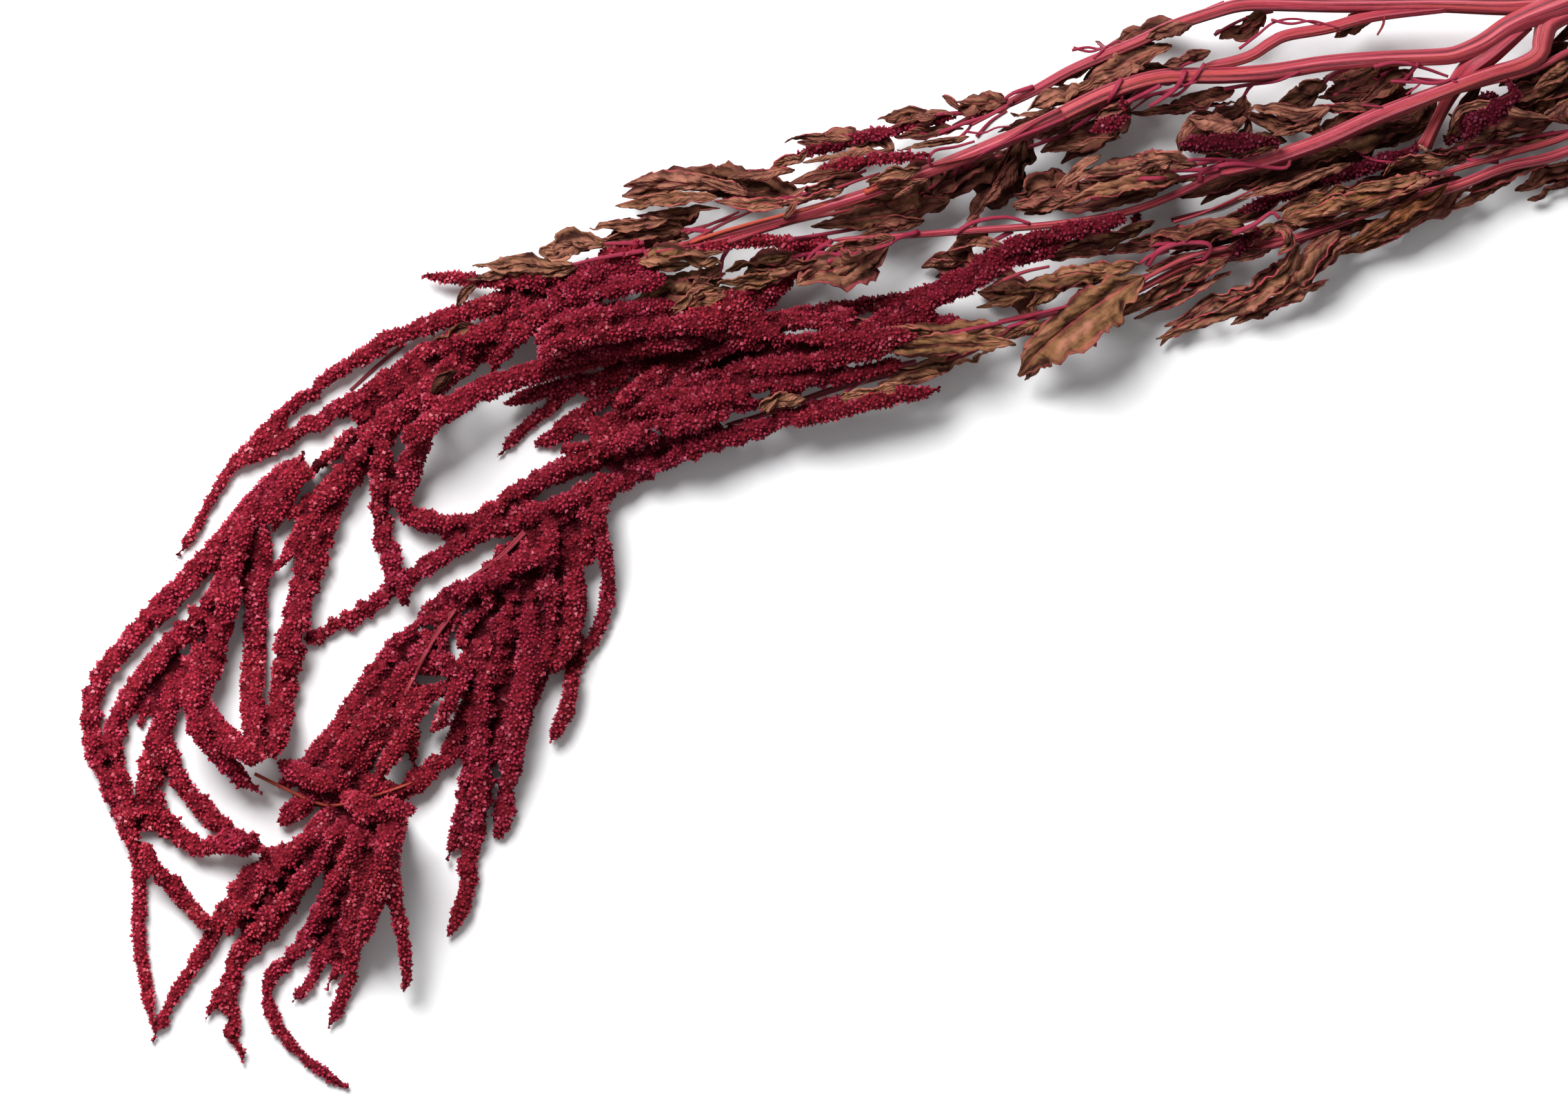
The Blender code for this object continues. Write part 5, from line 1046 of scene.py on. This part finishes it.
def scatter_tree():
    """Geometry nodes that stand florets all over a tassel's surface."""
    found = bpy.data.node_groups.get("FloretScatter")
    if found:
        return found
    tree, given, result = new_group(
        "FloretScatter", "GeometryNodeTree",
        (("Geometry", "NodeSocketGeometry", None), ("Floret", "NodeSocketObject", None),
         ("Spacing", "NodeSocketFloat", 0.0013), ("Size", "NodeSocketFloat", 0.001),
         ("Seed", "NodeSocketInt", 1), ("Material", "NodeSocketMaterial", None)),
        (("Geometry", "NodeSocketGeometry"),))
    seed = given["Seed"]
    points = add_node(tree, "GeometryNodeDistributePointsOnFaces", {
        "Mesh": given["Geometry"], "Distance Min": given["Spacing"],
        "Density Max": compute(tree, "DIVIDE", 1.6, compute(tree, "POWER", given["Spacing"], 2.0)),
        "Seed": seed}, distribute_method="POISSON")
    lean = add_node(tree, "FunctionNodeRandomValue", {
        0: (-0.7, -0.7, -3.1416), 1: (0.7, 0.7, 3.1416), "Seed": seed}, data_type="FLOAT_VECTOR")
    turn = add_node(tree, "FunctionNodeEulerToRotation", {"Euler": lean.outputs[0]})
    turned = add_node(tree, "FunctionNodeRotateRotation", {
        "Rotation": points.outputs["Rotation"], "Rotate By": turn.outputs["Rotation"]},
        rotation_space="LOCAL")
    share = add_node(tree, "FunctionNodeRandomValue", {2: 0.65, 3: 1.35, "Seed": seed}, data_type="FLOAT")
    source = add_node(tree, "GeometryNodeObjectInfo", {"Object": given["Floret"]})
    placed = add_node(tree, "GeometryNodeInstanceOnPoints", {
        "Points": points.outputs["Points"], "Instance": source.outputs["Geometry"],
        "Rotation": turned.outputs["Rotation"],
        "Scale": compute(tree, "MULTIPLY", share.outputs[1], given["Size"])})
    tint = add_node(tree, "FunctionNodeRandomValue", {2: 0.0, 3: 1.0, "Seed": seed}, data_type="FLOAT")
    marked = add_node(tree, "GeometryNodeStoreNamedAttribute", {
        "Geometry": placed.outputs["Instances"], "Name": "tint", "Value": tint.outputs[1]},
        data_type="FLOAT", domain="INSTANCE")
    real = add_node(tree, "GeometryNodeRealizeInstances", {"Geometry": marked.outputs["Geometry"]})
    finish_tree(tree, real.outputs["Geometry"], 0.0002, given, result)
    return tree


def run_tree(thing, tree, **values):
    """Run a geometry node tree on an object with its named inputs, and keep the plain result."""
    modifier = thing.modifiers.new(tree.name, "NODES")
    modifier.node_group = tree
    for item in tree.interface.items_tree:
        if item.item_type == "SOCKET" and item.in_out == "INPUT":
            key = item.name.lower().replace(" ", "_")
            if key in values:
                modifier[item.identifier] = values[key]
    return plain_mesh(thing)


def strand_mesh(head, tree):
    """The strands that lie on or beside a head, as one mesh."""
    shape = Shape()
    for node, first, last, stand, route in STRANDS:
        if node != head:
            continue
        radii = np.array((first, last)) * MM
        line = laid(route, STRAND_STEP, tree, stand * radii[0])
        share = np.linspace(0.0, 1.0, len(line))
        taper = np.clip(np.minimum(share / 0.12, (1.0 - share) / 0.2), 0.1, 1.0) ** 0.5
        add_tube(shape, line, (radii[0] + (radii[1] - radii[0]) * share) * taper, 12)
    return shape.mesh(head + "_strands") if shape.points else None


def gap_cutter():
    """Upright prisms that stand in the gaps through the heads."""
    shape = Shape()
    corners = 10
    for number, (reach, first, last) in enumerate(GAPS):
        middle = 0.5 * (np.array(first) + last)
        half = 0.5 * np.hypot(last[0] - first[0], last[1] - first[1])
        turn = math.atan2(last[1] - first[1], last[0] - first[0])
        outline = []
        for corner in range(corners):
            angle = 2.0 * math.pi * corner / corners
            ahead = half * np.sign(round(math.cos(angle), 6)) + reach * math.cos(angle)
            aside = reach * math.sin(angle) * (1.0 + 0.3 * math.sin(2.7 * angle + number))
            outline.append((middle[0] + ahead * math.cos(turn) - aside * math.sin(turn),
                            middle[1] + ahead * math.sin(turn) + aside * math.cos(turn)))
        ends = [(x, y, height) for height in CUT for x, y in outline]
        faces = [tuple(range(corners))[::-1], tuple(range(corners, 2 * corners))]
        faces += [(corner, (corner + 1) % corners, corners + (corner + 1) % corners, corners + corner)
                  for corner in range(corners)]
        shape.add(plan(ends), faces)
    return new_object("gap_cutter", shape.mesh("gap_cutter"))


def tassel_core(name, nodes, settings, finish, tree, share, cutter=None):
    """The inner body of one or more tassel nodes: a copy with its strands and gaps, rounded and clumped."""
    mesh = bpy.data.meshes.new(name)
    body = bmesh.new()
    for node in nodes:
        body.from_mesh(merged_copy(node))
        strands = strand_mesh(node, tree)
        if strands:
            body.from_mesh(strands)
    body.to_mesh(mesh)
    body.free()
    core = new_object(name, mesh)
    for step in ("join", "even"):
        even = core.modifiers.new(step, "REMESH")
        even.mode = "VOXEL"
        even.voxel_size = CORE_VOXEL
        even.use_smooth_shade = True
        if step == "join" and cutter:
            cut = core.modifiers.new("cut", "BOOLEAN")
            cut.operation = "DIFFERENCE"
            cut.object = cutter
    soften = core.modifiers.new("soften", "SMOOTH")
    soften.factor = 0.5
    soften.iterations = 2
    plain_mesh(core)
    return run_tree(core, clump_tree(), clump_size=settings.clump_size,
                    clump_height=share * settings.clump_height, deepen=settings.deepen, material=finish)


def cover_with_florets(core, name, seed, settings, floret, finish):
    """A piece of florets that stand all over a tassel's inner body."""
    return run_tree(new_object(name, core.data.copy()), scatter_tree(), floret=floret,
                    spacing=settings.spacing, size=settings.size, seed=seed, material=finish)


def leaf_frame(node, stem_tree):
    """Spine from base to tip and largest half width of a leaf, read from its node."""
    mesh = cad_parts[node].data
    points = np.array([vertex.co for vertex in mesh.vertices])
    middle = points.mean(axis=0)
    flat = points[:, :2] - middle[:2]
    long_way = np.linalg.eigh(np.cov(flat.T))[1][:, 1]
    along = flat @ long_way
    across = flat @ np.array((-long_way[1], long_way[0]))
    edges = np.linspace(along.min(), along.max(), 8)
    spine = []
    widths = []
    for low, high in zip(edges[:-1], edges[1:]):
        inside = (along >= low - 0.002) & (along <= high + 0.002)
        if inside.any():
            near = points[inside]
            spine.append(0.5 * (near.max(axis=0) + near.min(axis=0)))
            widths.append(0.5 * (across[inside].max() - across[inside].min()))
    spine = np.array(spine)
    first = stem_tree.find_nearest(Vector(spine[0]))[3]
    last = stem_tree.find_nearest(Vector(spine[-1]))[3]
    if last < first:
        spine = spine[::-1]
    return spine, max(widths)


def blade_width(share):
    """Outline of a blade from its neck to its pointed tip, as a share of its largest half width."""
    return np.maximum(0.05, np.sin(math.pi * np.clip(share, 0.0, 1.0) ** 0.8) ** 0.75)


def clear_of_stems(points, middles, stem_tree):
    """Move the points of a blade above or below the stems, to the side that its middle is on."""
    for ring, middle in enumerate(middles):
        for point in points[ring]:
            top = surface_height(stem_tree, point)
            if top is None:
                continue
            bottom = surface_height(stem_tree, point, -HIGH)
            if middle < 0.5 * (top + bottom):
                point[2] = min(point[2], bottom - STEM_GAP)
            else:
                point[2] = max(point[2], top + STEM_GAP)


def fold(value):
    """A zigzag between -1 and 1, for sharp creases with flat faces between them."""
    return 1.0 - 2.0 * abs(value % 2.0 - 1.0)


def sheet_faces(count, rows):
    """Faces of a thin closed sheet: its two sides and its rim."""
    wide = rows + 1
    sheet = count * wide
    faces = []
    for ring in range(count - 1):
        for a in range(ring * wide, ring * wide + rows):
            b, c, d = a + 1, a + wide + 1, a + wide
            faces += [(a, d, c, b), (sheet + a, sheet + b, sheet + c, sheet + d)]
    rim = list(range(rows))
    rim += [ring * wide + rows for ring in range(count - 1)]
    rim += [(count - 1) * wide + column for column in range(rows, 0, -1)]
    rim += [ring * wide for ring in range(count - 1, 0, -1)]
    return faces + [(corner, following, sheet + following, sheet + corner)
                    for corner, following in zip(rim, rim[1:] + rim[:1])]


def add_blade(shape, spine, half, colour, settings, draws, stem_tree, rows=12):
    """One dry blade: creased along its length, with curled, torn edges, as a thin closed sheet."""
    route = smooth_route(spine, BLADE_STEP)
    count = len(route)
    share = np.linspace(0.0, 1.0, count)[:, None]
    run = share * BLADE_STEP * (count - 1)
    heading, side, over = directions(route)
    across = np.linspace(-1.0, 1.0, rows + 1)[None, :]
    away = np.abs(across)
    flank = np.sign(across)
    width = half * blade_width(share)
    seed = draws.uniform(0.0, 50.0)
    phase = [draws.uniform(0.0, 6.3) for _ in range(4)]
    roll = draws.uniform(-0.5, 0.5) + draws.uniform(-0.8, 0.8) * np.sin(4.0 * share + phase[0])
    torn = np.array([[noise.noise(Vector((place * 170.0, 9.0 * v, seed)))
                      + 0.5 * noise.noise(Vector((place * 420.0, 9.0 * v, seed)))
                      + draws.uniform(-0.12, 0.12) for v in (-1.0, 1.0)] for place in run[:, 0]])
    torn = np.where(across < 0.0, torn[:, :1], torn[:, 1:])
    uneven = 1.0 + draws.uniform(-0.3, 0.3) * flank
    reach = PLEATED * width * uneven * across * (1.0 + TORN * torn * away ** 2)
    wave = away ** 2.5 * (np.sin(run / CURLS[0] + phase[1] + 1.7 * flank)
                          + 0.8 * np.sin(run / CURLS[1] + phase[2] - 0.9 * flank)
                          + 0.45 * np.sin(run / CURLS[2] + phase[3] + flank))
    crease = np.zeros((count, rows + 1))
    for ring in range(count):
        for column in range(rows + 1):
            sample = Vector((run[ring, 0] * 85.0, reach[ring, column] * 150.0, seed))
            crease[ring, column] = (fold(2.4 * noise.noise(sample))
                                    + 0.5 * fold(2.4 * noise.noise(2.6 * sample)))
    pleat = np.sin(7.0 * across + phase[1] + 1.2 * np.sin(run / PLEAT_DRIFT + phase[2]))
    crumple = settings.crumple * min(1.0, WIDE / half)
    lift = (width * (draws.uniform(-0.3, 0.5) * away + settings.curl * wave + settings.pleat * pleat)
            + crumple * crease)
    shift = 0.25 * away ** 2 * width * np.cos(run / CURLS[0] + phase[3])
    flat_way = side * np.cos(roll) + over * np.sin(roll)
    high_way = over * np.cos(roll) - side * np.sin(roll)
    points = (route[:, None, :] + reach[..., None] * flat_way[:, None, :]
              + lift[..., None] * high_way[:, None, :] + shift[..., None] * heading[:, None, :])
    # The relief mark is the height of the waves, creases and pleats; the leaf material paints highlight where
    # it is high and shade where it is low.
    relief = 0.25 * wave + 0.55 * crease + 0.45 * pleat
    clear_of_stems(points, route[:, 2], stem_tree)
    points[..., 2] = np.maximum(points[..., 2], FLOOR_GAP)
    normal = np.cross(np.gradient(points, axis=1), np.gradient(points, axis=0))
    normal /= np.maximum(np.linalg.norm(normal, axis=2), 1e-9)[..., None]
    thick = 0.5 * settings.thickness
    top = (points - normal * thick).reshape(-1, 3)
    bottom = (points + normal * thick).reshape(-1, 3)
    place = np.stack((np.broadcast_to(share, relief.shape), np.broadcast_to(across, relief.shape),
                      np.full(relief.shape, seed)), axis=-1).reshape(-1, 3)
    tone, blush = colour
    shape.add(np.vstack((bottom, top)), sheet_faces(count, rows), blade=np.vstack((place, place)),
              tone=np.full(2 * len(top), tone), blush=np.full(2 * len(top), blush),
              relief=np.concatenate((relief.ravel(), relief.ravel())))


def add_stalk(shape, base, stem_tree):
    """A thin stalk from a leaf's base to the stem, which it meets at a slant."""
    toward = Vector(base) + Vector((0.010, 0.005, 0.0))
    foot = np.array(stem_tree.find_nearest(toward)[0])
    middle = 0.5 * (foot + base) + np.array((-0.002, 0.0, 0.001))
    line = smooth_route((foot, middle, base), 0.002)
    add_tube(shape, line, np.linspace(0.0010, 0.0006, len(line)), 8, tone=1.0)


class AMARANTH_OT_stems(bpy.types.Operator):
    """Draw the branching stem with its ridges and its pith ends"""

    bl_idname = "amaranth.stems"
    bl_label = "Stems"

    def execute(self, context):
        settings = context.scene.amaranth_stems
        shape = Shape()
        for number, (name, ridged, route) in enumerate(STEMS):
            line = smooth_route(route, STEM_STEP)
            left = STEM_STEP * np.arange(len(line))[::-1]
            radii = line[:, 3] * MM
            if name not in BLUNT_STEMS:
                radii *= np.clip(left / TIP, 0.1, 1.0) ** 0.5
            sides = 32 if route[0][3] > THICK_STEM else 22
            turns = (5 + number % 3, 9 + number % 4)
            add_tube(shape, plan(line[:, :3]), radii, sides, settings.ridge * ridged, turns, 1.3 * number)
        around = surface_of(*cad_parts)
        for radius, tone, route in TWIGS:
            line = laid(route, TWIG_STEP, around, 0.5 * radius * MM)
            radii = np.linspace(1.15, 0.75, len(line)) * radius * MM
            add_tube(shape, line, radii, 8, 0.06, (3, 5), tone=tone)
        stem_tree = surface_of("stem")
        for node in LEAVES:
            add_stalk(shape, leaf_frame(node, stem_tree)[0][0], stem_tree)
        settle(shape.piece("ridged_stems", stem_finish(settings)), "stem", "stem")
        shape = Shape()
        for route in PITHS:
            line = smooth_route(route, PITH_STEP)
            add_tube(shape, plan(line[:, :3]), line[:, 3] * MM, 18, 0.08)
        settle(shape.piece("cut_pith", pith_finish(settings)), "stem")
        return {"FINISHED"}


class AMARANTH_OT_tassels(bpy.types.Operator):
    """Cover the tassel heads and the side tassels with florets"""

    bl_idname = "amaranth.tassels"
    bl_label = "Tassels"

    def execute(self, context):
        settings = context.scene.amaranth_florets
        petal = floret_finish(settings)
        inside = core_finish(settings)
        floret = floret_mesh()
        cutter = gap_cutter()
        heads_tree = surface_of(*HEADS)
        for number, (node, share) in enumerate(HEADS.items()):
            core = tassel_core(node + "_core", (node,), settings, inside, heads_tree, share, cutter)
            piece = cover_with_florets(core, node + "_florets", 10 * number + 1, settings, floret, petal)
            settle(core, "tassel", node)
            settle(piece, "tassel")
        around = surface_of(*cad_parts)
        core = tassel_core("side_tassels_core", SIDE_TASSELS, settings, inside, around, SIDE_SHARE)
        piece = cover_with_florets(core, "side_tassels_florets", SIDE_SEED, settings, floret, petal)
        settle(core, "tassel", *SIDE_TASSELS)
        settle(piece, "tassel")
        bpy.data.objects.remove(floret, do_unlink=True)
        bpy.data.objects.remove(cutter, do_unlink=True)
        return {"FINISHED"}


class AMARANTH_OT_leaves(bpy.types.Operator):
    """Make each leaf a thin crumpled blade with smaller torn blades beside it"""

    bl_idname = "amaranth.leaves"
    bl_label = "Leaves"

    def execute(self, context):
        settings = context.scene.amaranth_leaves
        finish = leaf_finish(settings)
        stem_tree = surface_of("stem")
        for number, (node, (tone, blush, share)) in enumerate(LEAVES.items()):
            draws = random.Random(LEAF_SEED + number)
            spine, half = leaf_frame(node, stem_tree)
            shape = Shape()
            half *= share
            add_blade(shape, spine, 1.15 * half, (tone, blush), settings, draws, stem_tree)
            for _ in range(2 if share > SHRUNK else 0):
                turn = draws.uniform(-0.25, 0.25)
                size = draws.uniform(0.5, 0.85)
                turned = spine - spine[0]
                cosine, sine = math.cos(turn), math.sin(turn)
                turned = np.column_stack((turned[:, 0] * cosine - turned[:, 1] * sine,
                                          turned[:, 0] * sine + turned[:, 1] * cosine, turned[:, 2]))
                aside = np.array((draws.uniform(-0.4, 0.4) * half, draws.uniform(-0.6, 0.6) * half,
                                  draws.uniform(-3.0, 1.0) * MM))
                beside = spine[draws.choice((0, 0, 1, 2))] + turned * size + aside
                beside[:, 2] = np.maximum(beside[:, 2], SPINE_GAP)
                narrow = half * draws.uniform(0.45, 0.8)
                darker = max(0.0, tone + draws.uniform(-0.7, 0.3))
                add_blade(shape, beside, narrow, (darker, blush), settings, draws, stem_tree, rows=8)
            settle(shape.piece(node + "_blades", finish), "leaf", node)
        around = surface_of(*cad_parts)
        shape = Shape()
        draws = random.Random(LOOSE_SEED)
        for tone, blush, half, route in LOOSE_BLADES:
            spine = plan(route) if len(route[0]) == 3 else laid(route, LOOSE_STEP, around, LAID_RISE)
            add_blade(shape, spine, half * MM, (tone, blush), settings, draws, stem_tree)
        settle(shape.piece("loose_blades", finish), "leaf")
        return {"FINISHED"}


class AMARANTH_OT_stage(bpy.types.Operator):
    """Lay the floor, and set the camera and the light"""

    bl_idname = "amaranth.stage"
    bl_label = "Stage"

    def execute(self, context):
        settings = context.scene.amaranth_stage
        scene = context.scene
        floor_mesh = bpy.data.meshes.new("floor")
        body = bmesh.new()
        bmesh.ops.create_grid(body, x_segments=1, y_segments=1, size=FLOOR_SIZE)
        body.to_mesh(floor_mesh)
        body.free()
        floor_mesh.materials.append(floor_finish(settings))
        floor = new_object("floor", floor_mesh)
        floor.location.z = FLOOR_HEIGHT
        middle = plan(((0.5 * PHOTO_WIDTH * PIXEL, 0.5 * PHOTO_HEIGHT * PIXEL, 0.0),))[0]
        lens = bpy.data.cameras.new("camera")
        lens.sensor_width = SENSOR
        lens.lens = SENSOR * settings.height / (PHOTO_WIDTH * PIXEL * MM)
        lens.clip_end = 20.0
        camera = new_object("camera", lens)
        camera.location = (middle[0], middle[1], settings.height)
        scene.camera = camera
        key_light = bpy.data.lights.new("key", "AREA")
        key_light.energy = settings.key
        key_light.size = KEY_SIZE
        key = new_object("key", key_light)
        key.location = KEY_PLACE
        key.rotation_euler = (-key.location).to_track_quat("-Z", "Y").to_euler()
        sky = bpy.data.worlds.new("sky")
        sky.use_nodes = True
        back = sky.node_tree.nodes["Background"]
        back.inputs["Color"].default_value = (1.0, 1.0, 1.0, 1.0)
        back.inputs["Strength"].default_value = settings.sky
        scene.world = sky
        scene.view_settings.view_transform = "Standard"
        return {"FINISHED"}


class AMARANTH_PT_panel(bpy.types.Panel):
    """The steps that dress the amaranth, in order"""

    bl_idname = "AMARANTH_PT_panel"
    bl_label = "Tassel Amaranth"
    bl_space_type = "VIEW_3D"
    bl_region_type = "UI"
    bl_category = "Amaranth"

    def draw(self, context):
        column = self.layout.column()
        for operator in STEPS:
            column.operator(operator.bl_idname)


SETTINGS = (("amaranth_florets", FloretSettings), ("amaranth_stems", StemSettings),
            ("amaranth_leaves", LeafSettings), ("amaranth_stage", StageSettings))
STEPS = (AMARANTH_OT_stems, AMARANTH_OT_tassels, AMARANTH_OT_leaves, AMARANTH_OT_stage)


def register():
    """Register the settings, the operators and the panel."""
    for name, group in SETTINGS:
        bpy.utils.register_class(group)
        setattr(bpy.types.Scene, name, PointerProperty(type=group))
    for operator in STEPS:
        bpy.utils.register_class(operator)
    bpy.utils.register_class(AMARANTH_PT_panel)


def unregister():
    """Take away the panel, the operators and the settings."""
    bpy.utils.unregister_class(AMARANTH_PT_panel)
    for operator in reversed(STEPS):
        bpy.utils.unregister_class(operator)
    for name, group in reversed(SETTINGS):
        delattr(bpy.types.Scene, name)
        bpy.utils.unregister_class(group)


def main():
    """Dress the whole part."""
    register()
    bpy.ops.amaranth.stems()
    bpy.ops.amaranth.tassels()
    bpy.ops.amaranth.leaves()
    bpy.ops.amaranth.stage()


if __name__ == "__main__":
    main()
